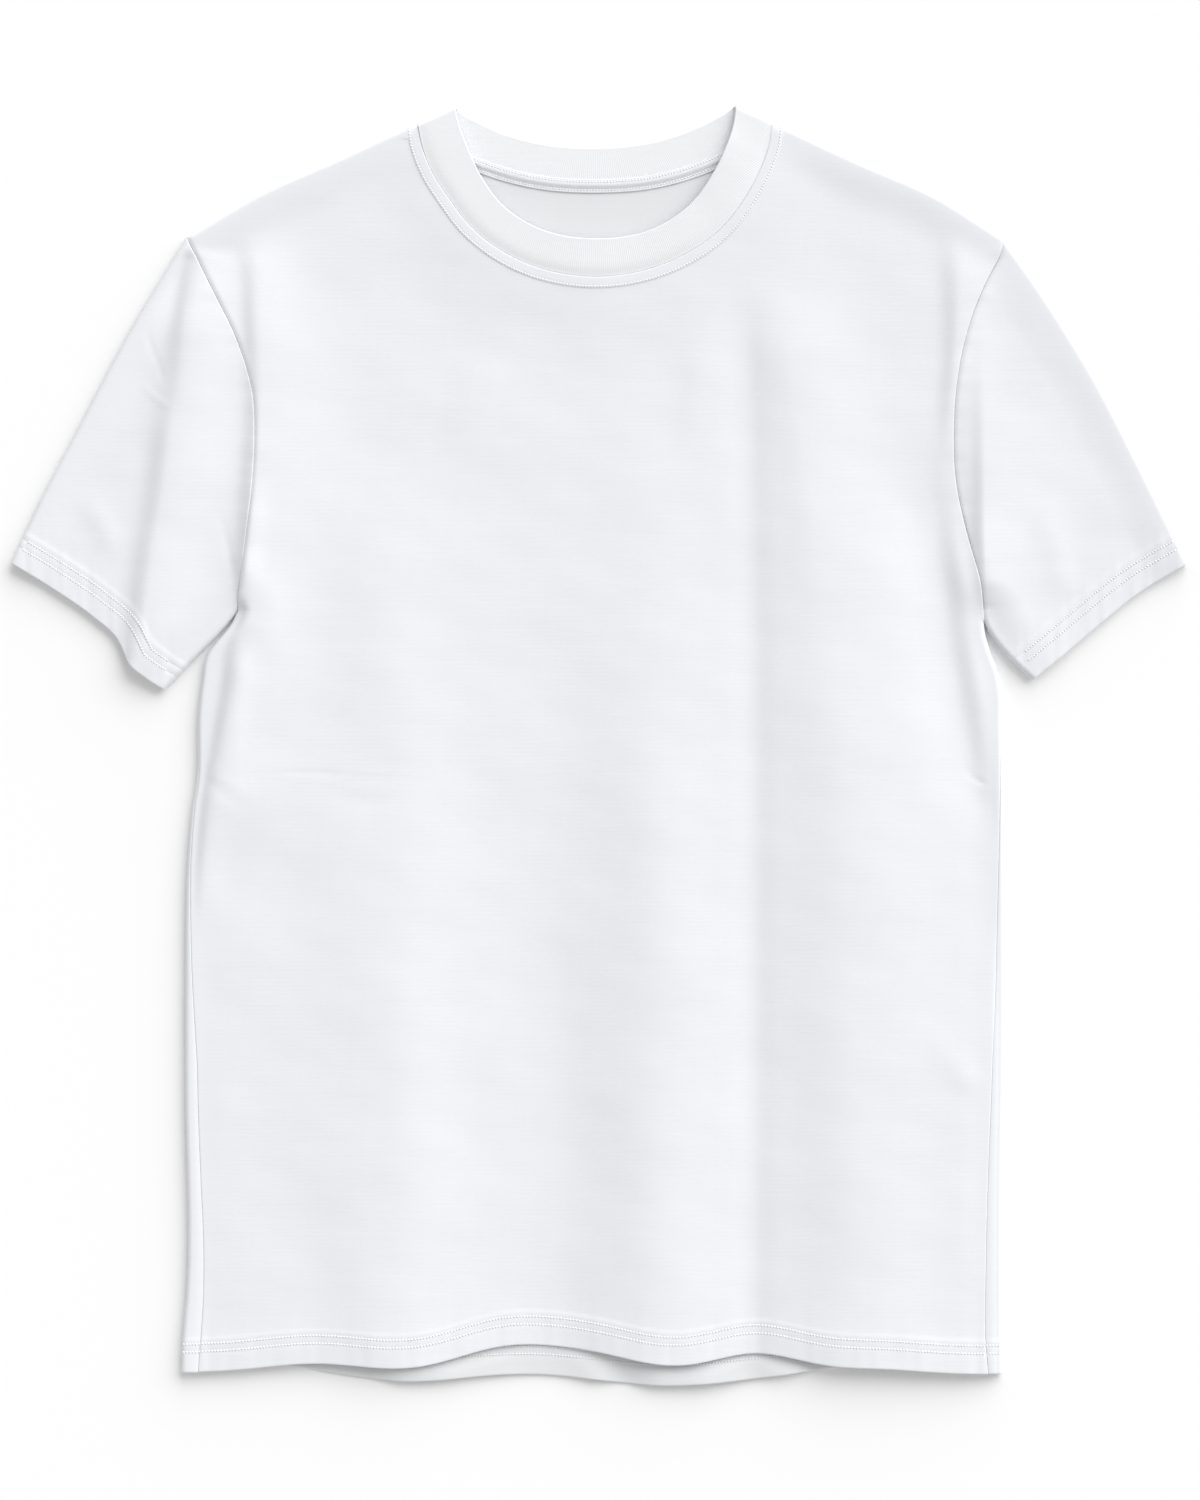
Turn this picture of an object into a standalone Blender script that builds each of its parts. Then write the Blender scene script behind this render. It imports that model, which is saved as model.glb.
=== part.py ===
"""A crew neck t-shirt laid flat on its back, as separate sewn pieces of cloth.

Tables are in millimetres: +X to the wearer's left, +Y from hem to neck, +Z up from
the surface that the shirt lies on. Each piece is one open sheet through the middle of
its cloth, which Solidify gives its wall. The upper layer is a height field over the
outline: it rounds down to the lower layer at the folded edges and swells in long folds.
"""
from collections import namedtuple

import bmesh
import bpy
import numpy as np

MM = 0.001

# ---- cloth -----------------------------------------------------------------------------
JERSEY = 1.2            # wall of body and sleeves
HEM_WALL = 2.2          # hem and cuffs, turned up once
STRIP_WALL = 2.0        # seam allowance stitched down beside the neckband
RIB_WALL = 2.4          # neckband, knitted double
TAPE_WALL = 1.0         # tape over the inside of the back neck seam
SEAM_GAP = 0.3          # between two pieces where they are sewn
UNDERARM_GAP = 0.5      # more than that between body and sleeve at the underarm's point
UNDERARM_REACH = 3.0    # and over what height
EDGE_GAP = 0.5          # between front and back, whose seam runs on the folded edges

JERSEY_LOOK = ((0.83, 0.84, 0.87), 0.85)    # colour and roughness
RIB_LOOK = ((0.83, 0.835, 0.85), 0.9)
TAPE_LOOK = ((0.82, 0.83, 0.86), 0.8)

# ---- heights of the cloth's middle -------------------------------------------------------
FOLD_RADIUS = 2.2       # of the folded edges: shoulders, sides and sleeve edges
LOWER_LAYER = JERSEY / 2
FOLD_CENTRE = LOWER_LAYER + FOLD_RADIUS
SETTLE = 1.7            # how far the upper layer sinks inside a folded edge
SETTLE_REACH = 16.0     # and over what distance
LOWEST_UPPER = 2.3      # the upper layer's middle never comes lower than this
LOWEST_EASE = 0.3       # and eases towards it
RIB_RISE = 0.8          # how much higher the front neckband's free edge lies than its seam

# ---- widths ----------------------------------------------------------------------------
HEM_DEPTH = 19.0        # hem and cuffs
HEM_STEP = 1.2          # over which the hem's second layer ends
STRIP_WIDTH = 6.6       # seam allowance beside the neckband
BAND = 20.0             # width of the rows that run parallel to shoulders and neckline
HALF_CHEST = 246.0      # from a side seam to the middle, at the hem
TAPE_WIDTH = 8.0
TAPE_END = 16.0         # from the shoulder fold to the end of the tape

# ---- outline (x, y); a folded side is followed from the underarm down ----------------------
SHOULDER_RIGHT = [(-109.0, 372.6), (-119.8, 368.0), (-156.0, 351.4), (-201.0, 331.4), (-247.6, 303.9)]
SHOULDER_LEFT = [(103.3, 373.8), (114.2, 368.6), (156.2, 349.0), (201.2, 329.2), (242.6, 303.1)]
SIDE_RIGHT = [(-217.3, 79.6), (-220.6, 72.5), (-226.4, 65.0), (-231.0, 59.5), (-235.5, 53.0), (-238.2, 38.8),
              (-240.4, 20.8), (-241.6, -21.2), (-244.0, -36.0), (-246.6, -63.2), (-248.4, -143.6),
              (-248.4, -206.0), (-248.0, -330.8), (-250.0, -353.6), (-250.9, -378.0)]
SIDE_LEFT = [(230.3, 73.6), (231.2, 66.0), (234.2, 55.5), (238.0, 45.5), (240.3, 35.0), (241.1, 10.6),
             (242.4, -41.0), (242.6, -90.8), (242.6, -185.0), (241.4, -268.4), (241.4, -351.2),
             (241.7, -380.0)]
ARMHOLE_RIGHT = [(-217.3, 79.6), (-214.0, 106.6), (-211.0, 130.6), (-208.1, 154.6), (-206.6, 190.0),
                 (-207.6, 208.6), (-211.8, 226.6), (-220.0, 248.8), (-228.6, 266.0), (-238.0, 284.8),
                 (-247.6, 303.9)]
ARMHOLE_LEFT = [(230.3, 73.6), (229.6, 85.0), (227.6, 98.8), (223.2, 115.0), (218.0, 134.8), (213.8, 156.0),
                (212.2, 190.0), (214.2, 218.8), (218.0, 239.0), (224.0, 259.5), (232.4, 278.8),
                (239.6, 292.6), (242.6, 303.1)]
SLEEVE_TOP_RIGHT = [(-247.6, 303.9), (-279.8, 250.8), (-311.8, 190.8), (-335.8, 144.8), (-352.7, 108.8)]
SLEEVE_TOP_LEFT = [(242.6, 303.1), (260.0, 278.8), (294.2, 224.8), (328.4, 158.8), (352.7, 108.7)]
UNDERARM_RIGHT = [(-217.3, 79.6), (-223.4, 71.8), (-239.8, 54.6), (-260.8, 32.8)]
UNDERARM_LEFT = [(230.3, 73.6), (233.0, 68.2), (244.4, 53.2), (259.4, 38.8)]
CUFF_RIGHT = [(-260.8, 32.8), (-271.7, 39.8), (-281.6, 48.6), (-284.4, 54.6), (-289.0, 63.4),
              (-303.8, 76.8), (-329.8, 94.8), (-352.7, 108.8)]
CUFF_LEFT = [(259.4, 38.8), (276.2, 52.4), (300.2, 72.6), (324.2, 91.6), (352.7, 108.7)]

# ---- neckline, from the fold at the right shoulder round to the fold at the left -----------
FRONT_SEAM = [(-109.0, 372.6), (-106.6, 359.2), (-100.0, 342.4), (-91.8, 329.4), (-76.6, 309.6),
              (-48.0, 290.0), (-2.0, 280.3), (44.0, 290.2), (72.6, 309.0), (87.5, 328.2), (95.0, 342.0),
              (101.4, 359.6), (103.3, 373.8)]
FRONT_INNER = [(-86.8, 383.0), (-84.0, 371.2), (-79.0, 357.7), (-71.6, 341.6), (-57.4, 322.4),
               (-35.0, 308.6), (-2.0, 303.0), (31.4, 308.6), (53.6, 323.0), (67.6, 341.6), (75.1, 356.8),
               (79.8, 370.6), (81.7, 383.6)]
BACK_SEAM = [(-109.0, 372.6), (-102.8, 364.4), (-91.5, 356.6), (-67.4, 345.3), (-39.7, 337.7),
             (-2.0, 334.8), (35.0, 338.0), (62.0, 346.0), (86.0, 357.6), (97.2, 365.6), (103.3, 373.8)]
BACK_INNER = [(-86.8, 383.0), (-81.4, 377.6), (-73.6, 373.4), (-59.8, 367.0), (-35.8, 360.4), (0.2, 357.7),
              (36.2, 362.2), (55.0, 368.4), (70.0, 375.6), (77.2, 379.8), (81.7, 383.6)]

# ---- hems: the front one draws up in places, the back one lies a little longer ---------------
HEM_LEVEL = (-376.0, -377.0)    # y of the hem at the right side and at the left
HemBend = namedtuple("HemBend", "centre half_width rise")
FRONT_HEM_BENDS = [HemBend(-169.5, 44.0, 5.5), HemBend(-56.1, 42.7, 14.2), HemBend(-2.8, 42.0, 10.0),
                   HemBend(94.0, 38.7, 11.9), HemBend(165.2, 37.9, 3.3)]
BACK_HEM_BENDS = [HemBend(-191.0, 26.0, 4.2), HemBend(-113.2, 42.1, -5.2), HemBend(-20.0, 43.2, 2.0),
                  HemBend(34.8, 70.0, -7.7), HemBend(161.9, 44.0, 5.4)]

# ---- side seams lie on the upper side, this far in from the folded side -----------------------
Station = namedtuple("Station", "y inset")
SEAM_INSET_RIGHT = [Station(79.0, 0.0), Station(15.0, 0.6), Station(-69.0, 1.7), Station(-133.0, 3.4),
                    Station(-193.0, 6.9), Station(-268.0, 7.9), Station(-352.0, 10.8), Station(-378.0, 9.8)]
SEAM_INSET_LEFT = [Station(73.0, 0.0), Station(16.0, 0.3), Station(-41.0, 2.2), Station(-144.0, 5.1),
                   Station(-185.0, 6.7), Station(-289.0, 9.1), Station(-352.0, 10.2), Station(-378.0, 8.4)]

# ---- long folds of the upper layer, each along its crest from top to bottom --------------------
# width_right and width_left: how far the fold reaches to the wearer's right (-X) and left (+X)
Fold = namedtuple("Fold", "name crest width_right width_left height fade_in fade_out")
FOLDS = [
    Fold("body, right plateau", [(-128.8, 130.0), (-124.6, 3.0), (-127.0, -117.0), (-124.6, -237.0),
                                 (-122.0, -400.0)], 92.0, 36.0, 4.2, 230.0, 0.0),
    Fold("body, centre", [(24.0, 262.0), (24.0, 171.0), (33.0, 27.0), (37.4, -117.0), (35.0, -237.0),
                          (33.0, -400.0)], 36.0, 27.0, 5.6, 420.0, 0.0),
    Fold("body, left", [(112.0, 290.0), (125.0, 171.0), (133.4, 75.0), (144.0, -21.0), (150.0, -117.0),
                        (155.0, -213.0), (157.0, -400.0)], 24.0, 50.0, 5.8, 300.0, 0.0),
    Fold("roll beside right armhole", [(-207.0, 300.0), (-200.0, 249.0), (-197.8, 195.0), (-202.6, 147.0),
                                       (-209.0, 92.0)], 6.5, 26.0, 1.8, 30.0, 30.0),
    Fold("roll over right side", [(-208.0, 112.0), (-211.6, 57.0), (-217.0, 33.0), (-223.0, 3.0),
                                  (-231.0, -33.0), (-238.0, -72.0)], 4.2, 40.0, 4.6, 40.0, 60.0),
    Fold("roll beside left armhole", [(215.0, 302.0), (216.0, 267.0), (212.0, 243.0), (208.0, 205.0)],
         8.0, 10.0, 1.6, 20.0, 30.0),
    Fold("left side", [(216.0, 160.0), (221.0, 87.0), (227.0, 39.0), (237.0, -22.0)], 10.0, 12.0, 1.4,
         40.0, 30.0),
    Fold("right sleeve roll", [(-242.2, 297.0), (-244.6, 273.0), (-249.4, 247.0), (-251.2, 211.0),
                               (-257.4, 184.6), (-261.4, 154.6), (-266.8, 124.6), (-272.2, 94.6),
                               (-276.0, 68.8), (-279.4, 40.0)], 7.0, 28.0, 3.8, 40.0, 0.0),
    Fold("left sleeve, inner", [(244.0, 250.0), (236.0, 185.0), (238.0, 135.0), (252.0, 80.0)],
         14.0, 34.0, 2.2, 30.0, 40.0),
    Fold("left sleeve, outer", [(262.0, 268.0), (274.0, 243.0), (292.0, 214.0), (308.0, 184.0),
                                (322.0, 148.0), (334.0, 118.0)], 11.0, 16.0, 1.6, 20.0, 20.0),
    Fold("neckline", FRONT_SEAM, 30.0, 30.0, SETTLE, 0.0, 0.0),
]

# ---- rows and columns of the sheets -------------------------------------------------------------
HEM_ROWS = (0.0, HEM_DEPTH, HEM_DEPTH + HEM_STEP)
BELOW_UNDERARM = (404.0, 372.0, 338.0, 304.0, 270.0, 236.0, 202.0, 168.0, 134.0, 102.0, 72.0, 48.0, 30.0,
                  18.0, 9.0, 3.0)
ABOVE_UNDERARM = (0.6, 1.1, 2.9)
ARMHOLE_SPANS = 7
TOP_OF_ARMHOLE = (20.4, 9.6, 3.5, 2.0, 1.2, 0.75, 0.75)     # from the shoulder point, along the armhole
SHOULDER_ROWS = (20.0, 9.0, 2.8, 1.6, 0.95, 0.61, 0.61)     # in from the shoulder's outline
NECKLINE_ROWS = (20.0, 11.0, 7.8, 6.6, 4.0, 2.0, 0.15)      # out from the neck seam
EDGE_RISE = 0.5         # the outermost strip of the fold stands upright, this high
CORNER_REACH = 44.0     # where the innermost row turns from shoulder to neckline, from the corner
CORNER_WALL = 0.5       # cloth thins to this where three pieces meet on a folded edge
CORNER_SIZE = 5.0
NORMAL_REACH = 8.0      # columns this near to a side keep square to it
NEAR_SIDE = 28.0        # columns up to here keep their distance from the side
SHOULDER_REACH = 76.0   # columns from the side seam up to here end on the shoulder, the rest on the neck
EARLY = 0.35            # part of the height from which the middle columns start to follow the top edge
EARLY_REACH = 73.0      # and how far in from the near columns they all do
TOP_EASE = 1.5          # power with which they come to follow it
HEM_EASE = (0.04, 0.3)  # the rows straighten above the hem: from this part of the height, over this part
FAR_EASE = 3.0          # power with which columns further in follow the armhole less

# columns of half a panel: from the side seam at the hem, and past the corner on the neckline
Column = namedtuple("Column", "at_hem past_corner")
NECK_COLUMNS = [Column(76.0, 0.6), Column(90.0, 1.2), Column(102.0, 3.0), Column(114.0, 14.0),
                Column(128.0, 30.0), Column(145.0, 48.0), Column(164.0, 68.0), Column(184.0, 90.0),
                Column(204.0, 112.0), Column(225.0, 134.0)]
SIDE_COLUMNS = (0.0, 0.4, 1.6, 3.5, 8.0, 13.0, 19.0, 28.0, 41.0, 54.0, 65.0, 73.0)
FRONT_COLUMNS = [Column(at_hem, 0.0) for at_hem in SIDE_COLUMNS]
FRONT_COLUMNS += NECK_COLUMNS
BACK_NECK_COLUMNS = [Column(76.0, 0.6), Column(92.0, 1.2), Column(108.0, 3.0), Column(128.0, 16.0),
                     Column(154.0, 36.0), Column(184.0, 60.0), Column(215.0, 86.0)]
BACK_COLUMNS = [Column(at_hem, 0.0) for at_hem in (8.0, 28.0, 46.0, 62.0, 73.0)]
BACK_COLUMNS += BACK_NECK_COLUMNS
# the back goes round the folded side: places along the cloth from its outermost line
WRAP_PLACES = (3.3, 1.65, 0.0, -1.8, -3.6)
WRAP_STEP = 0.8         # and how far apart they lie along the armhole
SLEEVE_SPANS = 5
RIB_ROWS = (0.0, 0.5, 1.0)
RIB_TURN = (0.0, 0.5, 2.3)  # the neckband's columns on the round of its folded edge
TAPE_SPANS = 18


class Line:
    """A smooth line through a few points, measured along its length."""

    def __init__(self, points, steps=12):
        knots = np.array(points, dtype=float)
        chords = np.linalg.norm(np.diff(knots, axis=0), axis=1)
        slopes = np.diff(knots, axis=0) / chords[:, None]
        inner = slopes[:-1] * chords[1:, None] + slopes[1:] * chords[:-1, None]
        inner = inner / (chords[:-1] + chords[1:])[:, None]
        tangents = np.vstack([slopes[:1], inner, slopes[-1:]])
        t = np.arange(steps)[:, None] / steps
        spans = []
        for i, chord in enumerate(chords):
            start = (2 * t**3 - 3 * t**2 + 1) * knots[i] + (t**3 - 2 * t**2 + t) * chord * tangents[i]
            end = (3 * t**2 - 2 * t**3) * knots[i + 1] + (t**3 - t**2) * chord * tangents[i + 1]
            spans.append(start + end)
        self.points = np.vstack(spans + [knots[-1:]])
        steps_along = np.linalg.norm(np.diff(self.points, axis=0), axis=1)
        self.run = np.concatenate([[0.0], np.cumsum(steps_along)])
        self.length = self.run[-1]

    def at(self, distance):
        """The point that lies this far along the line."""
        return np.stack([np.interp(distance, self.run, self.points[:, k]) for k in range(2)], axis=-1)

    def x_at(self, y):
        """The line's x at a height y, for a line that only rises or only falls."""
        order = np.argsort(self.points[:, 1])
        return np.interp(y, self.points[order, 1], self.points[order, 0])

    def right_hand(self, distance):
        """The direction square to the line, on the right of one who walks along it."""
        reach = 1.5
        behind = self.at(np.maximum(distance - reach, 0.0))
        ahead = self.at(np.minimum(distance + reach, self.length)) - behind
        ahead = ahead / np.linalg.norm(ahead, axis=-1, keepdims=True)
        return np.stack([ahead[..., 1], -ahead[..., 0]], axis=-1)

    def nearest(self, x, y):
        """Distance to the line, + on its left hand, and how far along it the nearest point is."""
        best = np.full(np.shape(x), 1e9)
        side = np.zeros(np.shape(x))
        along = np.zeros(np.shape(x))
        for i, start in enumerate(self.points[:-1]):
            step = self.points[i + 1] - start
            size = step @ step
            t = np.clip(((x - start[0]) * step[0] + (y - start[1]) * step[1]) / size, 0.0, 1.0)
            dx = x - start[0] - t * step[0]
            dy = y - start[1] - t * step[1]
            gap = np.hypot(dx, dy)
            closer = gap < best
            best = np.where(closer, gap, best)
            side = np.where(closer, np.sign(step[0] * dy - step[1] * dx), side)
            along = np.where(closer, self.run[i] + t * np.sqrt(size), along)
        return best * side, along


FRONT_NECK = Line(FRONT_SEAM)
FRONT_EDGE = Line(FRONT_INNER)
BACK_NECK = Line(BACK_SEAM)
BACK_EDGE = Line(BACK_INNER)
FOLDED_EDGES = [Line(points) for points in (
    SHOULDER_RIGHT, SHOULDER_LEFT, SIDE_RIGHT, SIDE_LEFT, SLEEVE_TOP_RIGHT, SLEEVE_TOP_LEFT,
    UNDERARM_RIGHT, UNDERARM_LEFT, [FRONT_INNER[0], FRONT_SEAM[0]], [FRONT_INNER[-1], FRONT_SEAM[-1]])]
CRESTS = [Line(fold.crest) for fold in FOLDS]


def smooth(t):
    """0 below 0, 1 above 1, and a soft rise between."""
    t = np.clip(t, 0.0, 1.0)
    return t * t * (3.0 - 2.0 * t)


def stretch(distance, half, other_half):
    """A distance from a line's end, for a line of another length: kept near the end."""
    return distance * (1.0 + (other_half / half - 1.0) * smooth(distance / 20.0))


# ---- heights ----------------------------------------------------------------------------
def inside_edge(x, y, wall=JERSEY):
    """How far the cloth's middle is in from where it turns at the nearest folded edge."""
    distance = np.min([np.abs(line.nearest(x, y)[0]) for line in FOLDED_EDGES], axis=0)
    return np.maximum(distance - wall / 2, 0.0)


def rounding(inside):
    """Height above the fold's centre, on the round of a folded edge."""
    part = np.clip(1.0 - inside / FOLD_RADIUS, 0.0, 1.0)
    return FOLD_RADIUS * np.sqrt(1.0 - part**2)


def swell(x, y):
    """Sum of the long folds."""
    total = np.zeros(np.shape(x))
    for fold, line in zip(FOLDS, CRESTS):
        side, along = line.nearest(x, y)
        width = np.where(side < 0, fold.width_right, fold.width_left)
        rise = fold.height * np.exp(-(side / width) ** 2)
        if fold.fade_in:
            rise = rise * smooth(along / fold.fade_in)
        if fold.fade_out:
            rise = rise * smooth((line.length - along) / fold.fade_out)
        total += rise
    return total


def sag(x, y):
    """How far the upper layer lies above the top of the folded edges, or below it."""
    away = smooth((inside_edge(x, y) - FOLD_RADIUS) / SETTLE_REACH)
    level = FOLD_CENTRE + FOLD_RADIUS
    height = level + away * (swell(x, y) - SETTLE) - LOWEST_UPPER
    return LOWEST_UPPER + LOWEST_EASE * np.logaddexp(0.0, height / LOWEST_EASE) - level


def upper(x, y):
    """Height of the upper layer's middle."""
    inside = inside_edge(x, y)
    drop = np.where(inside > FOLD_RADIUS, sag(x, y), 0.0)
    return FOLD_CENTRE + np.maximum(rounding(inside), EDGE_GAP / 2) + drop


def lower(x, y):
    """Height of the lower layer's middle: flat, and rounding up to the folded edges."""
    return FOLD_CENTRE - np.maximum(rounding(inside_edge(x, y)), EDGE_GAP / 2)


def thin_corners(x, y, wall):
    """The wall, thinner where three pieces meet on a folded edge."""
    for corner in (SIDE_RIGHT[0], SIDE_LEFT[0], SHOULDER_RIGHT[0], SHOULDER_LEFT[0], SHOULDER_RIGHT[-1],
                   SHOULDER_LEFT[-1]):
        wall = np.where(np.hypot(x - corner[0], y - corner[1]) < CORNER_SIZE, CORNER_WALL, wall)
    return wall


def hem_edge(x, bends):
    """Height y of a hem's edge."""
    y = np.interp(x, (SIDE_RIGHT[-1][0], SIDE_LEFT[-1][0]), HEM_LEVEL)
    for bend in bends:
        y = y + bend.rise * np.exp(-((x - bend.centre) / bend.half_width) ** 2)
    return y


# ---- the body's two sides -----------------------------------------------------------------
class Side:
    """One side of the body: sign is -1 on the wearer's right and 1 on the left."""

    def __init__(self, sign, outline, armhole, insets, shoulder):
        self.sign = sign
        self.outline = Line(outline)
        self.armhole = Line(armhole)
        self.shoulder = Line(shoulder)
        self.seam_y = [station.y for station in insets][::-1]
        self.seam_inset = [station.inset for station in insets][::-1]
        self.underarm_y = outline[0][1]

    def seam(self, y):
        """Place of the side seam along the cloth, from the side's outermost line."""
        inset = np.interp(y, self.seam_y, self.seam_inset)
        arc = FOLD_RADIUS * np.arccos(np.clip(1.0 - inset / FOLD_RADIUS, -1.0, 1.0))
        return np.where(inset < FOLD_RADIUS, arc, FOLD_RADIUS * (np.pi / 2 - 1.0) + inset)

    def place(self, y, along):
        """The point this far along the cloth from the side's outermost line, or from the armhole."""
        turn = np.abs(along)
        arc = FOLD_RADIUS * (1.0 - np.cos(np.minimum(turn / FOLD_RADIUS, np.pi / 2)))
        inset = JERSEY / 2 + arc + np.maximum(turn - FOLD_RADIUS * np.pi / 2, 0.0)
        square = np.minimum(inset, NORMAL_REACH)
        run = np.interp(-y, -self.outline.points[:, 1], self.outline.run)
        inward = self.sign * self.outline.right_hand(run)
        folded = self.outline.at(run) + inward * square[..., None]
        folded[..., 0] -= self.sign * (inset - square)
        open_edge = np.stack([self.armhole.x_at(y) - self.sign * turn, y], axis=-1)
        return np.where((y < self.underarm_y)[..., None], folded, open_edge)

    def row_heights(self, bends):
        """Heights y of the body's rows at this side, from the hem to the row below the shoulder."""
        hem = float(hem_edge(self.outline.points[-1][0], bends))
        rows = [hem + up for up in HEM_ROWS]
        rows += [self.underarm_y - down for down in BELOW_UNDERARM]
        rows += [self.underarm_y + up for up in ABOVE_UNDERARM]
        top = self.armhole_point(TOP_OF_ARMHOLE[0])[1]
        spans = np.arange(1, ARMHOLE_SPANS + 1) / ARMHOLE_SPANS
        return np.concatenate([rows, rows[-1] + (top - rows[-1]) * spans])

    def armhole_point(self, below_shoulder):
        """The point of the armhole this far along it from the tip of the shoulder."""
        return self.armhole.at(self.armhole.length - below_shoulder)

    def armhole_points(self):
        """The armhole's points, where the rows of the body and the columns of the sleeve meet it."""
        y = self.row_heights(FRONT_HEM_BENDS)
        y = y[y > self.underarm_y]
        beside = np.stack([self.armhole.x_at(y), y], axis=-1)
        above = [self.armhole_point(down) for down in TOP_OF_ARMHOLE[1:]]
        return np.vstack([beside, above])


RIGHT = Side(-1, SIDE_RIGHT, ARMHOLE_RIGHT, SEAM_INSET_RIGHT, SHOULDER_RIGHT)
LEFT = Side(1, SIDE_LEFT, ARMHOLE_LEFT, SEAM_INSET_LEFT, SHOULDER_LEFT)


# ---- body panels -----------------------------------------------------------------------------
def offset_from(line, side, along, depth):
    """Points this deep in the panel, beside these places of a line that bounds it."""
    return line.at(along) + side * line.right_hand(along) * depth


def top_band(side, columns, neck):
    """Rows of points between the innermost row and the top edge, at one side."""
    reach = np.array([column.at_hem for column in columns])
    past = np.array([column.past_corner for column in columns])
    on_shoulder = reach < SHOULDER_REACH
    shoulder, half = side.shoulder.length, neck.length / 2
    part = np.clip(1.0 - reach / SHOULDER_REACH, 0.0, 1.0)
    shoulder_end = shoulder * part
    shoulder_inner = CORNER_REACH + (shoulder - CORNER_REACH) * part
    past_inner = np.interp(reach, (SHOULDER_REACH, HALF_CHEST), (CORNER_REACH, half))
    near_armhole = smooth(1.0 - reach / NEAR_SIDE)[:, None]
    rows = []
    for at_shoulder, at_neck, at_armhole in zip(SHOULDER_ROWS, NECKLINE_ROWS, TOP_OF_ARMHOLE):
        along = shoulder_end + (shoulder_inner - shoulder_end) * at_shoulder / BAND
        beside_shoulder = offset_from(side.shoulder, side.sign, along, at_shoulder)
        along = past + (past_inner - past) * at_neck / BAND
        along = along if side is RIGHT else neck.length - along
        beside_neck = offset_from(neck, 1.0, along, at_neck)
        row = np.where(on_shoulder[:, None], beside_shoulder, beside_neck)
        edge = side.armhole_point(at_armhole) - np.array([side.sign * SEAM_GAP / 2, 0.0])
        rows.append(row + near_armhole * (edge - row[0]))
    return np.array(rows)


def side_columns(side, y, middle, reach, edge):
    """One side's columns on the rows at heights y: each this far from the edge."""
    near = side.place(y, edge + NEAR_SIDE)
    above = y > side.underarm_y
    chord = near.copy()
    for k in range(2):
        chord[above, k] = np.interp(y[above], y[above][[0, -1]], near[above, k][[0, -1]])
    columns = []
    for distance in reach:
        if distance <= NEAR_SIDE:
            columns.append(side.place(y, edge + distance))
        else:
            part = (distance - NEAR_SIDE) / (HALF_CHEST - NEAR_SIDE)
            columns.append(chord + (middle - chord) * part + (near - chord) * (1.0 - part)**FAR_EASE)
    return np.stack(columns, axis=1)


def body_sheet(columns, neck, bends, columns_at):
    """Points (x, y) of a body panel in rows from hem to top and columns from right to left."""
    heights = [side.row_heights(bends) for side in (RIGHT, LEFT)]
    still = np.zeros(heights[0].shape)
    middle = (RIGHT.place(heights[0], still) + LEFT.place(heights[1], still)) / 2
    halves = [columns_at(side, y, middle) for side, y in zip((RIGHT, LEFT), heights)]
    sheet = np.concatenate([halves[0], middle[:, None], halves[1][:, ::-1]], axis=1)

    bands = [top_band(side, columns, neck) for side in (RIGHT, LEFT)]
    centre = neck.at(neck.length / 2) + np.outer(NECKLINE_ROWS, neck.right_hand(neck.length / 2))
    band = np.concatenate([bands[0], centre[:, None], bands[1][:, ::-1]], axis=1)

    reach = np.array([column.at_hem for column in columns])
    reach = np.concatenate([reach, [HALF_CHEST], reach[::-1]])
    rows_below = len(HEM_ROWS) + len(BELOW_UNDERARM)
    up = (middle[:, 1] - middle[0, 1]) / (middle[-1, 1] - middle[0, 1])
    late = up[rows_below]
    start = late + (EARLY - late) * smooth((reach - NEAR_SIDE) / EARLY_REACH)
    to_top = np.clip((up[:, None] - start) / (1.0 - start), 0.0, 1.0)**TOP_EASE
    hem_shift = hem_edge(sheet[0, :, 0], bends) - sheet[0, :, 1]
    to_top_shift = band[0] - sheet[-1]
    sheet[..., 1] += hem_shift * (1.0 - smooth((up - HEM_EASE[0]) / HEM_EASE[1]))[:, None]
    sheet = sheet + to_top[..., None] * to_top_shift
    return np.concatenate([sheet, band[1:]])


def front_body():
    reach = [column.at_hem for column in FRONT_COLUMNS]

    def columns_at(side, y, middle):
        edge = np.where(y < side.underarm_y, side.seam(y) + EDGE_GAP / 2, SEAM_GAP / 2)
        return side_columns(side, y, middle, reach, edge)

    sheet = body_sheet(FRONT_COLUMNS, FRONT_NECK, FRONT_HEM_BENDS, columns_at)
    x, y = sheet[..., 0], sheet[..., 1]
    in_hem = y < hem_edge(x, FRONT_HEM_BENDS) + HEM_DEPTH + HEM_STEP / 2
    in_strip = np.abs(FRONT_NECK.nearest(x, y)[0]) < STRIP_WIDTH + HEM_STEP / 2
    wall = thin_corners(x, y, np.where(in_hem, HEM_WALL, np.where(in_strip, STRIP_WALL, JERSEY)))
    z = upper(x, y)
    shoulders = on_shoulder_edge(FRONT_COLUMNS)
    z[-1, shoulders] = FOLD_CENTRE + EDGE_GAP / 2
    z[-2, shoulders] = FOLD_CENTRE + EDGE_GAP / 2 + EDGE_RISE
    z = z + np.maximum(wall - JERSEY, 0.0) / 2
    return shell("front_body", np.stack([x, y, z], axis=-1), wall, JERSEY_LOOK)


def on_shoulder_edge(columns):
    """Which columns of a whole panel end on a shoulder."""
    half = [column.at_hem < SHOULDER_REACH for column in columns]
    return np.array(half + [False] + half[::-1])


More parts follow.
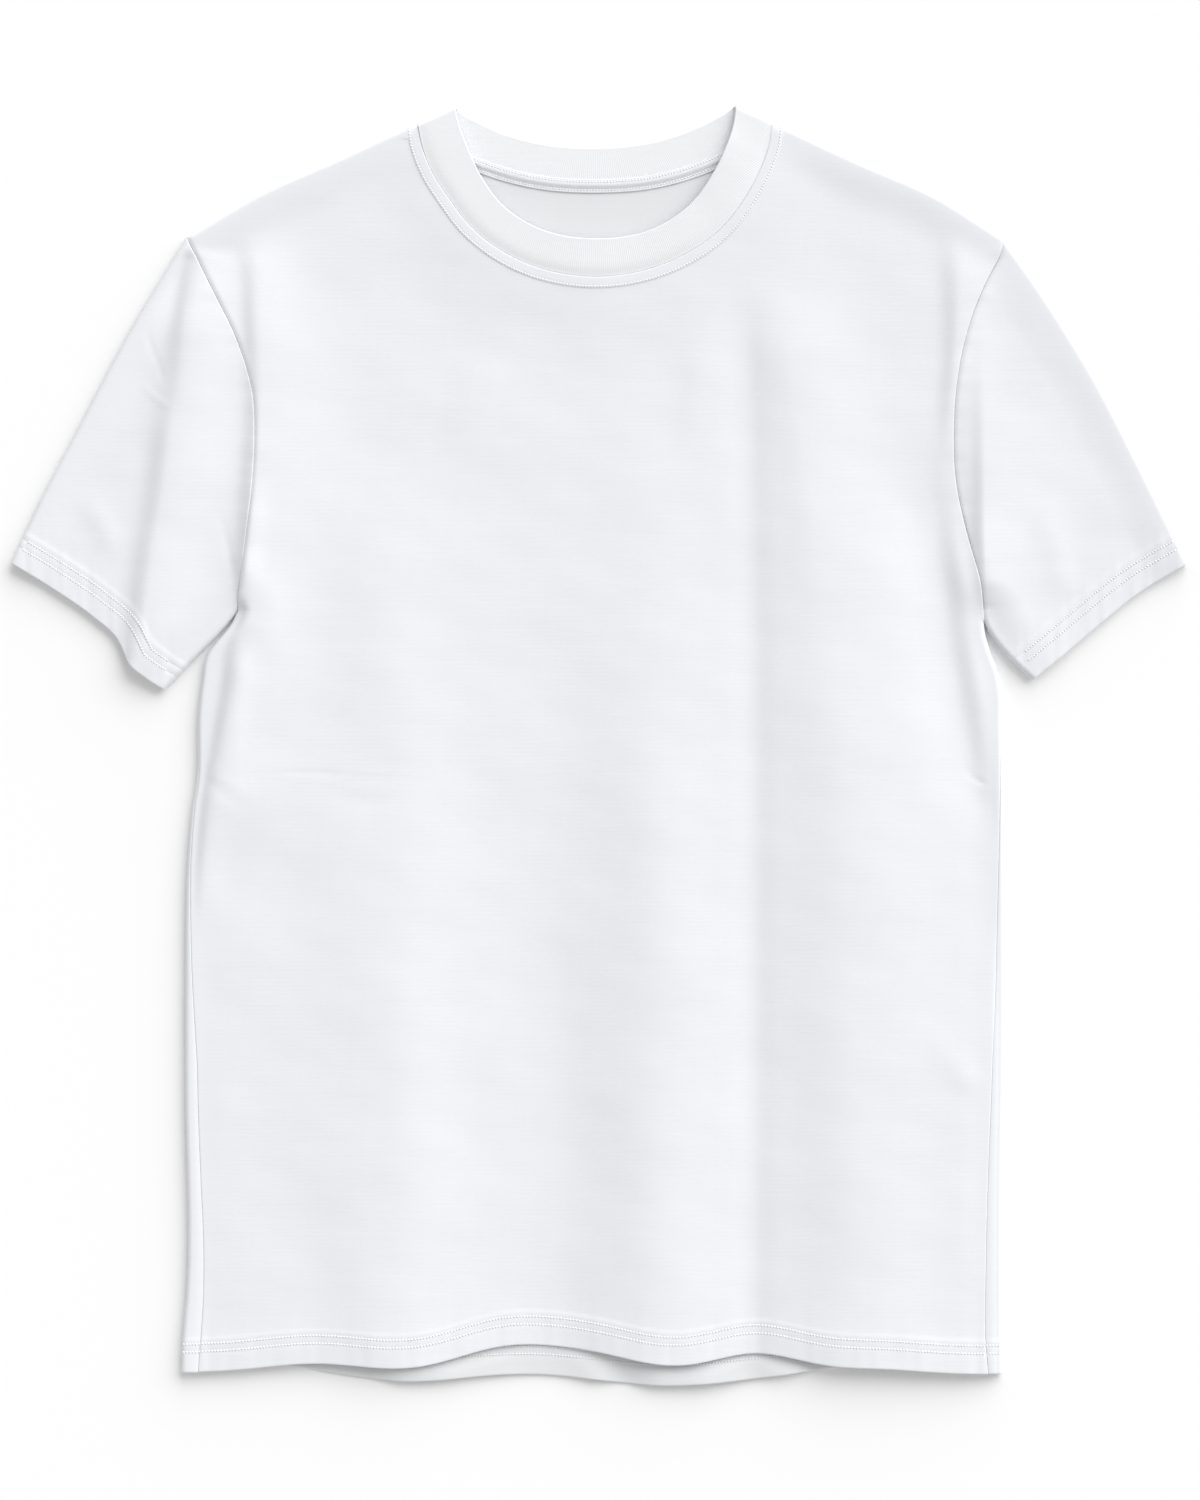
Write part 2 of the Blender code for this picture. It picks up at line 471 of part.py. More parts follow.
def back_body():
    reach = [column.at_hem for column in BACK_COLUMNS]
    wrap_reach = [k * WRAP_STEP for k in range(len(WRAP_PLACES) + 1)]
    columns = [Column(at_hem, 0.0) for at_hem in wrap_reach] + BACK_COLUMNS
    underneath = []

    def columns_at(side, y, middle):
        below = y < side.underarm_y
        seam = side.seam(y) - EDGE_GAP / 2
        wrapped = []
        for k, at_hem in enumerate(wrap_reach):
            place = seam + (WRAP_PLACES[-1] - seam) * k / len(WRAP_PLACES)
            if k > 0:
                place = np.minimum(place, WRAP_PLACES[k - 1])
            place = np.where(below, place, -SEAM_GAP / 2 - at_hem)
            wrapped.append(place)
        underneath.append(np.array(wrapped).T < 0.0)
        wrapped = np.stack([side.place(y, place) for place in wrapped], axis=1)
        flat = side_columns(side, y, middle, reach, np.full(y.shape, 0.0))
        return np.concatenate([wrapped, flat], axis=1)

    sheet = body_sheet(columns, BACK_NECK, BACK_HEM_BENDS, columns_at)
    x, y = sheet[..., 0], sheet[..., 1]
    on_top = np.zeros(x.shape, dtype=bool)
    rows, wraps = underneath[0].shape
    on_top[:rows, :wraps] = ~underneath[0]
    on_top[:rows, -wraps:] = ~underneath[1][:, ::-1]
    in_hem = y < hem_edge(x, BACK_HEM_BENDS) + HEM_DEPTH + HEM_STEP / 2
    wall = thin_corners(x, y, np.where(in_hem, HEM_WALL, JERSEY))
    z = np.where(on_top, upper(x, y), lower(x, y))
    shoulders = on_shoulder_edge(columns)
    z[-1, shoulders] = FOLD_CENTRE - EDGE_GAP / 2
    z[-2, shoulders] = FOLD_CENTRE - EDGE_GAP / 2 - EDGE_RISE
    z = z + np.maximum(wall - JERSEY, 0.0) / 2
    return shell("back_body", np.stack([x, y, z], axis=-1), wall, JERSEY_LOOK)


# ---- sleeves ---------------------------------------------------------------------------------
def sleeve(name, side, underarm, top_edge, cuff):
    """A tube laid flat: its upper layer from underarm to upper edge, and back underneath."""
    underarm, top_edge, cuff = Line(underarm), Line(top_edge), Line(cuff)
    start = side.armhole_points()
    above_underarm = start[:, 1] - side.underarm_y
    start[:, 0] += side.sign * (SEAM_GAP / 2 + UNDERARM_GAP * smooth(1.0 - above_underarm / UNDERARM_REACH))
    run = np.concatenate([[0.0], np.cumsum(np.linalg.norm(np.diff(start, axis=0), axis=1))])
    run = run + ABOVE_UNDERARM[0]
    length = run[-1] + TOP_OF_ARMHOLE[-1]
    from_end = np.where(run < length / 2, run, length - run)
    on_cuff = stretch(from_end, length / 2, cuff.length / 2)
    on_cuff = np.where(run < length / 2, on_cuff, cuff.length - on_cuff)
    end = cuff.at(on_cuff)
    across_start = (run - run[0]) / (run[-1] - run[0])
    across_end = (on_cuff - on_cuff[0]) / (on_cuff[-1] - on_cuff[0])
    reach = np.linalg.norm(end - start, axis=1)

    hem = HEM_DEPTH + HEM_STEP
    rows = [part * (1.0 - hem / reach) for part in np.linspace(0.0, 1.0, SLEEVE_SPANS + 1)]
    rows += [1.0 - HEM_DEPTH / reach, np.ones_like(reach)]
    along = np.array(rows)[..., None]
    across = (across_start * (1.0 - along[..., 0]) + across_end * along[..., 0])[..., None]
    straight = start * (1.0 - along) + end * along

    def edge_offset(line, inward, k):
        """How far the folded edge leaves the straight line between its ends."""
        distance = along[:, k, 0] * line.length
        edge = line.at(distance) + JERSEY / 2 * inward * line.right_hand(distance)
        bow = edge - straight[:, k]
        ends = bow[0] * (1.0 - along[:, k]) + bow[-1] * along[:, k]
        return (bow - ends)[:, None]

    sheet = (straight + edge_offset(underarm, -side.sign, 0) * (1.0 - across)
             + edge_offset(top_edge, side.sign, -1) * across)
    x, y = sheet[..., 0], sheet[..., 1]
    wall = np.full(x.shape, JERSEY)
    wall[-2:] = HEM_WALL
    wall = thin_corners(x, y, wall)
    over, under = upper(x, y), lower(x, y)
    over[:, [0, -1]] = FOLD_CENTRE
    over[:, -2] = FOLD_CENTRE + EDGE_GAP / 2 + EDGE_RISE
    under[:, -2] = FOLD_CENTRE - EDGE_GAP / 2 - EDGE_RISE
    ring_x = np.hstack([x, x[:, -2:0:-1]])
    ring_y = np.hstack([y, y[:, -2:0:-1]])
    ring_z = np.hstack([over, under[:, -2:0:-1]])
    ring_wall = np.hstack([wall, wall[:, -2:0:-1]])
    points = np.stack([ring_x, ring_y, ring_z + np.maximum(ring_wall - JERSEY, 0.0) / 2], axis=-1)
    return shell(name, points, ring_wall, JERSEY_LOOK, closed=True)


# ---- neckband and tape -------------------------------------------------------------------------
def band_points(seam, edge, columns, raised):
    """Half of the neckband, in columns from the right shoulder's fold to the left one's."""
    half = seam.length / 2
    right = np.array([column.past_corner for column in columns])
    right[:3] = RIB_WALL / 2 + np.array(RIB_TURN)
    on_seam = np.concatenate([right, [half], seam.length - right[::-1]])
    stretched = stretch(right, half, edge.length / 2)
    on_edge = np.concatenate([stretched, [edge.length / 2], edge.length - stretched[::-1]])
    sewn = seam.at(on_seam) - SEAM_GAP / 2 * seam.right_hand(on_seam)
    free = edge.at(on_edge)
    part = np.array(RIB_ROWS)[:, None, None]
    points = sewn * (1.0 - part) + free * part
    x, y = points[..., 0], points[..., 1]
    turn = rounding(inside_edge(x, y, RIB_WALL))
    if raised:
        clear = smooth(inside_edge(x, y, RIB_WALL) / SETTLE_REACH)
        z = FOLD_CENTRE + turn + clear * (sag(sewn[:, 0], sewn[:, 1]) + RIB_RISE * part[..., 0])
    else:
        z = FOLD_CENTRE - turn
    return np.stack([x, y, z + (RIB_WALL - JERSEY) / 2], axis=-1)


def neckband():
    front = band_points(FRONT_NECK, FRONT_EDGE, NECK_COLUMNS, raised=True)
    back = band_points(BACK_NECK, BACK_EDGE, BACK_NECK_COLUMNS, raised=False)
    front[:, [0, -1], 2] = FOLD_CENTRE + (RIB_WALL - JERSEY) / 2
    points = np.hstack([front, back[:, -2:0:-1]])
    return shell("neckband", points, np.full(points.shape[:2], RIB_WALL), RIB_LOOK, closed=True)


def neck_tape():
    """Lies inside the back neck, half on the neckband's edge and half on the back panel."""
    along = np.linspace(TAPE_END, BACK_NECK.length - TAPE_END, TAPE_SPANS + 1)
    middle = BACK_NECK.at(along)
    outward = BACK_NECK.right_hand(along)
    on_rib = RIB_WALL + SEAM_GAP + TAPE_WALL / 2
    on_panel = JERSEY + SEAM_GAP + TAPE_WALL / 2
    rows = []
    for across, height in ((TAPE_WIDTH / 2, on_panel), (SEAM_GAP / 2, on_rib), (-TAPE_WIDTH / 2, on_rib)):
        place = middle + across * outward
        rows.append(np.column_stack([place, np.full(len(place), height)]))
    points = np.array(rows)
    return shell("neck_tape", points, np.full(points.shape[:2], TAPE_WALL), TAPE_LOOK)


# ---- meshes ------------------------------------------------------------------------------------
def shell(name, points, wall, material, closed=False):
    """An object whose mesh is the sheet of points (rows, columns, xyz), with its wall around it."""
    if closed:
        points = np.concatenate([points, points[:, :1]], axis=1)
        wall = np.concatenate([wall, wall[:, :1]], axis=1)
    rows, columns = points.shape[:2]
    mesh = bpy.data.meshes.new(name)
    bm = bmesh.new()
    bmesh.ops.create_grid(bm, x_segments=columns - 1, y_segments=rows - 1, size=0.5)
    weights = bm.verts.layers.deform.verify()
    thickest = float(wall.max())
    thinnest = float(wall.min())
    for vertex in bm.verts:
        column = round((vertex.co.x + 0.5) * (columns - 1))
        row = round((vertex.co.y + 0.5) * (rows - 1))
        vertex.co = points[row, column] * MM
        vertex[weights][0] = (wall[row, column] - thinnest) / max(thickest - thinnest, 1e-6)
    if closed:
        bmesh.ops.remove_doubles(bm, verts=bm.verts, dist=1e-7)
    bm.to_mesh(mesh)
    bm.free()

    piece = bpy.data.objects.new(name, mesh)
    piece.vertex_groups.new(name="thick")
    solidify = piece.modifiers.new("wall", "SOLIDIFY")
    solidify.thickness = thickest * MM
    solidify.offset = 0.0
    if thickest > thinnest:
        solidify.vertex_group = "thick"
        solidify.thickness_vertex_group = thinnest / thickest
    mesh.materials.append(cloth_material(name, *material))
    GARMENT.objects.link(piece)
    return piece


def cloth_material(name, colour, roughness):
    material = bpy.data.materials.new(name)
    material.use_nodes = True
    shader = material.node_tree.nodes["Principled BSDF"]
    shader.inputs["Base Color"].default_value = (*colour, 1.0)
    shader.inputs["Roughness"].default_value = roughness
    shader.inputs["Metallic"].default_value = 0.0
    return material


for leftover in list(bpy.data.objects):
    bpy.data.objects.remove(leftover, do_unlink=True)
GARMENT = bpy.data.collections.new("crew_neck_t_shirt")
bpy.context.scene.collection.children.link(GARMENT)
front_body()
back_body()
sleeve("sleeve_right", RIGHT, UNDERARM_RIGHT, SLEEVE_TOP_RIGHT, CUFF_RIGHT)
sleeve("sleeve_left", LEFT, UNDERARM_LEFT, SLEEVE_TOP_LEFT, CUFF_LEFT)
neckband()
neck_tape()
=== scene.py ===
"""A white crew neck t-shirt laid flat on its back: its cloth, seams, stitches, floor and light.

Tables are in millimetres: +X to the wearer's left, +Y from hem to neck, +Z up from the floor.
Each piece of cloth is a sheet of points with a wall around it, on the form of the solid that
it stands for, with the small creases, seams and ribs that the solid leaves out.
"""
from collections import namedtuple

import bpy
import numpy as np
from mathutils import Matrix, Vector
from mathutils.bvhtree import BVHTree


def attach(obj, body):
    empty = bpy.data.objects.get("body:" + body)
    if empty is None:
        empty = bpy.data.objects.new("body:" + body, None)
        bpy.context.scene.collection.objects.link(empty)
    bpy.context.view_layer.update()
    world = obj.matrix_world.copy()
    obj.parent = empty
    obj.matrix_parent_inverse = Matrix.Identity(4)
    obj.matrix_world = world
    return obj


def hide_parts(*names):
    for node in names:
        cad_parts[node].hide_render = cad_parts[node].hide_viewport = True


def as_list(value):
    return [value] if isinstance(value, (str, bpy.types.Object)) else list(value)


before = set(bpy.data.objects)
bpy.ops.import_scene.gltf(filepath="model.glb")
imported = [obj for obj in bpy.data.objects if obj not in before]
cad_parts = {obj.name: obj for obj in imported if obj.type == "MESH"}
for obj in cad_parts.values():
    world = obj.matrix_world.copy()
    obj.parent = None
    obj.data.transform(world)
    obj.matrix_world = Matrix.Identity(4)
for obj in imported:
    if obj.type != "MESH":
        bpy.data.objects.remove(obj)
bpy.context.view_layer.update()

MM = 0.001
TINY = 1e-9             # keeps a length above 0

# ---- cloth ----
JERSEY = 1.2            # wall of body and sleeves
HEM_WALL = 1.45         # hem and cuffs, turned up once
STRIP_WALL = 1.6        # seam allowance stitched down beside the neckband
RIB_WALL = 2.4          # neckband, knitted double
RIB_SEWN = 1.6          # and where it is sewn in
TAPE_WALL = 0.6         # tape over the inside of the back neck seam
SEAM_GAP = 0.12         # between two pieces where they are sewn
EDGE_GAP = 0.08         # between front and back, whose seam runs on the folded edges
RIM = (0.7, 0.96)       # part of the wall left on a cut edge, and on the line next to it

# ---- heights of the cloth's middle ----
FOLD_RADIUS = 2.2       # of the folded edges: shoulders, sides and sleeve edges
LOWER_LAYER = JERSEY / 2
FOLD_CENTRE = LOWER_LAYER + FOLD_RADIUS
SETTLE = 1.7            # how far the upper layer sinks inside a folded edge
SETTLE_REACH = 24.0     # and over what distance
LOWEST_UPPER = 2.3      # the upper layer's middle never comes lower than this
LOWEST_EASE = 0.3       # and eases towards it
CREASE_REACH = 5.0      # small creases fade out this near to a folded edge
RIB_SINK = 0.3          # how much lower the neckband lies where it is sewn in
RIB_SLOPE = 7.0         # and over what distance
RIB_RISE = 0.4          # how much higher the front neckband's free edge lies than its seam
RIB_LIFT = 1.1          # and how much more on the wearer's left
RIB_LIFT_AT = (0.90, 0.10)  # where along the neckline, and over what part of it
LIFT_ROOM = 1.7         # the lower layer stays this far under the upper one

# ---- widths ----
HEM_DEPTH = 19.0        # hem and cuffs
HEM_STEP = 3.0          # over which the hem's second layer ends
STRIP_WIDTH = 6.6       # seam allowance beside the neckband
STRIP_STEP = 0.3
STRIP_START = 5.0       # the strip rises over this much at the shoulders
BAND = 20.0             # width of the rows that run parallel to shoulders and neckline
HALF_CHEST = 246.0      # from a side seam to the middle, at the hem
TAPE_END = 16.0         # from the shoulder fold to the end of the tape

# ---- outline (x, y); a folded side is followed from the underarm down ----
SHOULDER_RIGHT = [(-109, 372.6), (-119.8, 368), (-156, 351.4), (-201, 331.4), (-247.6, 303.9)]
SHOULDER_LEFT = [(103.3, 373.8), (114.2, 368.6), (156.2, 349), (201.2, 329.2), (242.6, 303.1)]
SIDE_RIGHT = [(-217.3, 79.6), (-220.6, 72.5), (-226.4, 65), (-231, 59.5), (-235.5, 53), (-238.2, 38.8),
              (-240.4, 20.8), (-241.6, -21.2), (-244, -36), (-246.6, -63.2), (-248.4, -143.6),
              (-248.4, -206), (-248, -330.8), (-250, -353.6), (-250.9, -378)]
SIDE_LEFT = [(230.3, 73.6), (231.2, 66), (234.2, 55.5), (238, 45.5), (240.3, 35), (241.1, 10.6),
             (242.4, -41), (242.6, -90.8), (242.6, -185), (241.4, -268.4), (241.4, -351.2),
             (241.7, -380)]
ARMHOLE_RIGHT = [(-217.3, 79.6), (-214, 106.6), (-211, 130.6), (-208.1, 154.6), (-206.6, 190),
                 (-207.6, 208.6), (-211.8, 226.6), (-220, 248.8), (-228.6, 266), (-238, 284.8),
                 (-247.6, 303.9)]
ARMHOLE_LEFT = [(230.3, 73.6), (229.6, 85), (227.6, 98.8), (223.2, 115), (218, 134.8), (213.8, 156),
                (212.2, 190), (214.2, 218.8), (218, 239), (224, 259.5), (232.4, 278.8),
                (239.6, 292.6), (242.6, 303.1)]
SLEEVE_TOP_RIGHT = [(-247.6, 303.9), (-279.8, 250.8), (-311.8, 190.8), (-335.8, 144.8), (-352.7, 108.8)]
SLEEVE_TOP_LEFT = [(242.6, 303.1), (260, 278.8), (294.2, 224.8), (328.4, 158.8), (352.7, 108.7)]
UNDERARM_RIGHT = [(-217.3, 79.6), (-223.4, 71.8), (-239.8, 54.6), (-260.8, 32.8)]
UNDERARM_LEFT = [(230.3, 73.6), (233, 68.2), (244.4, 53.2), (259.4, 38.8)]
CUFF_RIGHT = [(-260.8, 32.8), (-271.7, 39.8), (-281.6, 48.6), (-284.4, 54.6), (-289, 63.4),
              (-303.8, 76.8), (-329.8, 94.8), (-352.7, 108.8)]
CUFF_LEFT = [(259.4, 38.8), (276.2, 52.4), (300.2, 72.6), (324.2, 91.6), (352.7, 108.7)]

# ---- neckline, from the fold at the right shoulder round to the fold at the left ----
FRONT_SEAM = [(-109, 372.6), (-106.6, 359.2), (-100, 342.4), (-91.8, 329.4), (-76.6, 309.6),
              (-48, 290), (-2, 280.3), (44, 290.2), (72.6, 309), (87.5, 328.2), (95, 342),
              (101.4, 359.6), (103.3, 373.8)]
FRONT_INNER = [(-86.8, 383), (-84, 371.2), (-79, 357.7), (-71.6, 341.6), (-57.4, 322.4),
               (-35, 308.6), (-2, 303), (31.4, 308.6), (53.6, 323), (67.6, 341.6), (75.1, 356.8),
               (79.8, 370.6), (81.7, 383.6)]
BACK_SEAM = [(-109, 372.6), (-102.8, 364.4), (-91.5, 356.6), (-67.4, 345.3), (-39.7, 337.7),
             (-2, 334.8), (35, 338), (62, 346), (86, 357.6), (97.2, 365.6), (103.3, 373.8)]
BACK_INNER = [(-86.8, 383), (-81.4, 377.6), (-73.6, 373.4), (-59.8, 367), (-35.8, 360.4), (0.2, 357.7),
              (36.2, 362.2), (55, 368.4), (70, 375.6), (77.2, 379.8), (81.7, 383.6)]

# ---- hems: the front one draws up in places, the back one lies a little longer ----
HEM_LEVEL = (-376, -377)  # y of the hem at the right side and at the left
HemBend = namedtuple("HemBend", "centre half_width rise")
FRONT_HEM_BENDS = [HemBend(-169.5, 44, 5.5), HemBend(-56.1, 42.7, 14.2), HemBend(-2.8, 42, 10),
                   HemBend(94, 38.7, 11.9), HemBend(165.2, 37.9, 3.3)]
BACK_HEM_BENDS = [HemBend(-191, 26, 4.2), HemBend(-113.2, 42.1, -5.2), HemBend(-20, 43.2, 2),
                  HemBend(34.8, 70, -7.7), HemBend(161.9, 44, 5.4)]

# ---- side seams lie on the upper side, this far in from the folded side ----
# places along the seam: y, and how far in
SEAM_INSET_RIGHT = [(79, 0), (15, 0.6), (-69, 1.7), (-133, 3.4),
                    (-193, 6.9), (-268, 7.9), (-352, 10.8), (-378, 9.8)]
SEAM_INSET_LEFT = [(73, 0), (16, 0.3), (-41, 2.2), (-144, 5.1),
                   (-185, 6.7), (-289, 9.1), (-352, 10.2), (-378, 8.4)]

# ---- long folds of the upper layer, each along its crest from top to bottom ----
# width_right and width_left: how far the fold reaches to the wearer's right (-X) and left (+X)
Fold = namedtuple("Fold", "crest width_right width_left height fade_in fade_out")
FOLDS = {
    "body, right": Fold([(-126, 210), (-127, 90), (-125, -60), (-124, -240), (-122, -400)],
        62, 38, 4.5, 400, 0),
    "body, right, upper": Fold([(-122, 190), (-131, 110), (-128, -10)], 30, 30, 1.5, 90, 110),
    "body, centre": Fold([(20, 262), (26, 171), (33, 60), (37, -117), (36, -237), (33, -400)],
        37, 44, 5.3, 420, 0),
    "body, left, upper": Fold([(108, 290), (117, 212), (128, 130), (134, 40)], 20, 34, 2.4, 60, 130),
    "body, left": Fold([(120, 230), (130, 129), (138, 87), (144, 30), (148, -60), (152, -160), (156, -400)],
        44, 70, 6.4, 260, 0),
    "body, right side": Fold([(-224, -30), (-227, -140), (-226, -400)], 20, 46, 1.5, 90, 0),
    "roll beside right armhole": Fold([(-213, 318), (-211, 302), (-207.4, 285), (-206.4, 255), (-205.6, 205)],
        4.8, 22, 2, 44, 60),
    "roll at right underarm": Fold([(-206.4, 164), (-207.4, 140), (-210.4, 117), (-212.4, 98), (-214.6, 80)],
        3.2, 8, 1.4, 36, 36),
    "roll over right side": Fold([(-208, 300), (-205.4, 285), (-204, 255), (-203.6, 189), (-206.6, 153),
        (-209.6, 117), (-211.4, 87), (-213.6, 63), (-217.2, 33), (-222.6, 9), (-228.6, -27), (-232.8, -51),
        (-237, -81)], 7, 38, 4.4, 140, 60),
    "roll beside left armhole": Fold([(210, 318), (212, 300), (214, 262), (213, 230), (210, 200), (209, 160)],
        5.8, 22, 2.6, 44, 70),
    "left side": Fold([(211, 150), (215.4, 117), (220.4, 87), (224.4, 63), (229, 33), (232.6, 10), (236, -21),
        (238.4, -36)], 8, 24, 2.9, 70, 12),
    "right sleeve roll": Fold([(-240.6, 298.6), (-243.4, 274.6), (-247.6, 252), (-250.6, 224.8),
        (-256.6, 188.8), (-260.6, 152.8), (-267, 116.8), (-270.6, 86.8), (-275, 62.8), (-278.4, 40)],
        11.5, 34, 4.9, 60, 0),
    "right sleeve roll, upper": Fold([(-244.2, 300), (-246.2, 286), (-248.4, 262), (-250.4, 236)],
        4.8, 30, 1.9, 8, 50),
    "left sleeve, inner": Fold([(231, 262), (230.2, 205), (230.4, 172), (230.4, 140), (230.6, 117), (233, 84),
        (239.6, 58), (248, 34), (254, 20)], 6, 46, 1.8, 170, 0),
    "left sleeve, inner, upper": Fold([(231, 262), (230.2, 205), (230.4, 172), (230.4, 140), (230.6, 117),
        (232.4, 88), (234.4, 70)], 6, 40, 2.1, 150, 50),
    "left sleeve, outer": Fold([(239, 294), (250, 270), (262, 247), (278, 218), (293, 188), (306, 154),
        (318, 124)], 16, 11, 0.35, 10, 20),
    "neckline": Fold(FRONT_SEAM, 30, 30, SETTLE, 0, 0),
}
# ---- small creases, along their length from top to bottom; by piece; a height below 0 is a trough ----
CREASES = {
    "front": [
        Fold([(86, 276), (89, 200), (92, 90), (93, -120), (92, -400)], 12, 9, -1.2, 50, 0),
        Fold([(-30, 40), (-34, -60), (-30, -200), (-26, -400)], 26, 24, -1.1, 200, 0),
        Fold([(-208.2, 104), (-207.4, 94), (-207, 80), (-208.6, 64), (-210.4, 53)], 9, 13, 1.6, 24, 24),
        Fold([(-212.6, 120), (-215.2, 96), (-217.4, 64), (-221, 34), (-225.6, 8), (-231.6, -26), (-236, -66),
             (-238, -120)], 3.8, 11, 2.3, 30, 80),
        Fold([(196, 190), (197, 150), (201, 117), (206.6, 87), (209, 63), (214, 33), (219, 6), (224.6, -21),
             (230, -60)], 24, 9.5, -2, 60, 50),
        Fold([(230, -90), (231, -200), (230, -400)], 24, 12, 1.3, 90, 0),
        Fold([(216, -8.6), (224, -19.6), (232.6, -25)], 1.5, 1.7, -0.35, 9, 5),
        Fold([(198.2, -171), (214, -194), (231.2, -213)], 8, 8, 0.4, 26, 18),
        Fold([(-204, -17.4), (-176, -16.6), (-148, -18.2), (-128, -19.6), (-110, -19.4)],
             1.2, 1.3, -0.2, 40, 26),
        Fold([(-168, -30), (-132, -34), (-108, -30)], 2.6, 2, -0.2, 24, 24),
        Fold([(-236, -20), (-226, -28), (-208, -40)], 2.6, 3, -0.45, 6, 18),
        Fold([(-60, 240), (-76, 200), (-84, 150)], 14, 18, 0.8, 40, 50),
        Fold([(60, 262), (58, 210), (54, 150)], 10, 12, 0.5, 40, 50),
        Fold([(-170, -250), (-164, -320), (-160, -400)], 20, 18, -0.7, 90, 0),
    ],
    "sleeve_right": [
        Fold([(-247.4, 297), (-250.6, 274.6), (-255.6, 248.8), (-258.6, 211), (-265.8, 184.6),
             (-270.6, 154.6), (-275.6, 124.6), (-280.6, 94.6), (-283.2, 70), (-285, 52)], 8, 6, -1, 6, 0),
        Fold([(-251.6, 297), (-253.8, 276), (-257.4, 256), (-260.2, 236)], 10, 5.6, -1.3, 6, 44),
        Fold([(-272, 252), (-269.4, 240), (-263.6, 226), (-260.4, 214)], 1.5, 1.7, -0.25, 12, 8),
        Fold([(-275, 216), (-266, 208), (-256.6, 200.6)], 1.4, 1.5, 0.26, 10, 3),
        Fold([(-312, 150), (-298, 132), (-290, 104)], 8, 8, 0.7, 20, 24),
        Fold([(-229, 146), (-224, 125), (-217.6, 92)], 3, 3.2, -0.35, 34, 14),
    ],
    "sleeve_left": [
        Fold([(219, 244), (214, 206), (213.4, 165), (218, 134), (224.6, 106), (229.6, 78)],
             4, 5, -0.8, 120, 4),
        Fold([(262, 150), (274, 112), (280, 84)], 10, 10, 0.7, 30, 20),
    ],
    "back": [
        Fold([(-120, 220), (-132, 120), (-126, 0)], 18, 24, 1.4, 60, 80),
        Fold([(90, 260), (104, 160), (98, 40), (110, -60)], 14, 20, 1.2, 60, 80),
        Fold([(-20, 120), (-12, -20), (-24, -140), (-18, -250)], 16, 16, 1.3, 70, 70),
        Fold([(-170, -60), (-160, -170), (-172, -280)], 16, 14, 1.1, 60, 60),
        Fold([(170, 60), (176, -80), (166, -220), (172, -300)], 18, 14, 1.3, 60, 60),
        Fold([(-140, -374), (-60, -382), (-10, -381), (16, -379)], 18, 14, 3.1, 26, 24),
        Fold([(14, -379), (60, -383), (100, -382), (140, -377)], 18, 14, 3.7, 24, 26),
        Fold([(60, -200), (70, -280), (66, -392)], 12, 16, 1, 60, 0),
        Fold([(206, 250), (198, 200), (204, 140)], 6, 8, 0.8, 30, 30),
        Fold([(-196, 240), (-190, 180), (-200, 110)], 7, 9, 0.8, 30, 30),
    ],
    "under_right": [
        Fold([(-262, 262), (-276, 200), (-284, 130), (-296, 84)], 8, 10, 0.9, 40, 20),
        Fold([(-226, 190), (-240, 130), (-252, 80)], 8, 9, 0.7, 30, 20),
    ],
    "under_left": [
        Fold([(262, 250), (280, 190), (286, 120)], 9, 9, 0.9, 40, 20),
    ],
}
Wave = namedtuple("Wave", "length angle height phase")
UNEVEN = [Wave(61, 0.3, 0.08, 0.4), Wave(47, 1.9, 0.055, 2.1), Wave(38, 2.6, 0.04, 4),
          Wave(29, 0.9, 0.028, 5.2), Wave(23, 1.4, 0.022, 1.3), Wave(17, 2.9, 0.014, 3.3),
          Wave(13, 1.65, 0.010, 0.2), Wave(88, 1.2, 0.12, 2.9)]
PUCKERS = [Wave(8.7, 0, 0.035, 1.7), Wave(13.1, 0, 0.05, 4.4), Wave(23, 0, 0.06, 2.5)]
HEM_PUCKERS = [Wave(4.7, 0.06, 0.025, 1.2), Wave(6.3, -0.05, 0.04, 0.3), Wave(9.1, 0.08, 0.055, 2.7),
               Wave(13.1, -0.1, 0.06, 4.4), Wave(27, 0, 0.08, 0.9)]
PUCKER_REACH = 7        # how far puckers reach from a seam
PUCKER_HEM = 24         # and from the edge of a hem

# ---- rows and columns of the sheets ----
# rows of points above the hem's edge, then down and up from the underarm
HEM_ROWS = (0, 0.3, 1, 2.4, 4.4, 6.8, 9.2, 11.5, 12, 12.3, 12.6, 13.1, 14.7, 16.2, 16.7, 17, 17.3, 17.8, 18.9,
            19.7, 20.5, 21.2, 22.6)
HEM_STITCHES = (12.3, 17)  # rows of stitches, above the same edge
BELOW_UNDERARM = (*np.arange(419.0, 100.0, -3.6), *np.arange(100.0, 90.0, -0.9), *np.arange(88.0, 31.0, -3.5),
                  30, 27, 24, 21, 18, 15, 12, 9.5, 7.5, 6, 4.5, 3, 1.5)
ABOVE_UNDERARM = (0.4, 1, 1.9, 2.9, 4.4)
ARMHOLE_SPANS = 56      # spaces between rows from there to the top of the armhole
LINE_STEPS = 12         # short steps of a smooth line between two of its points
CREST_STEPS = 6         # and of a fold's crest
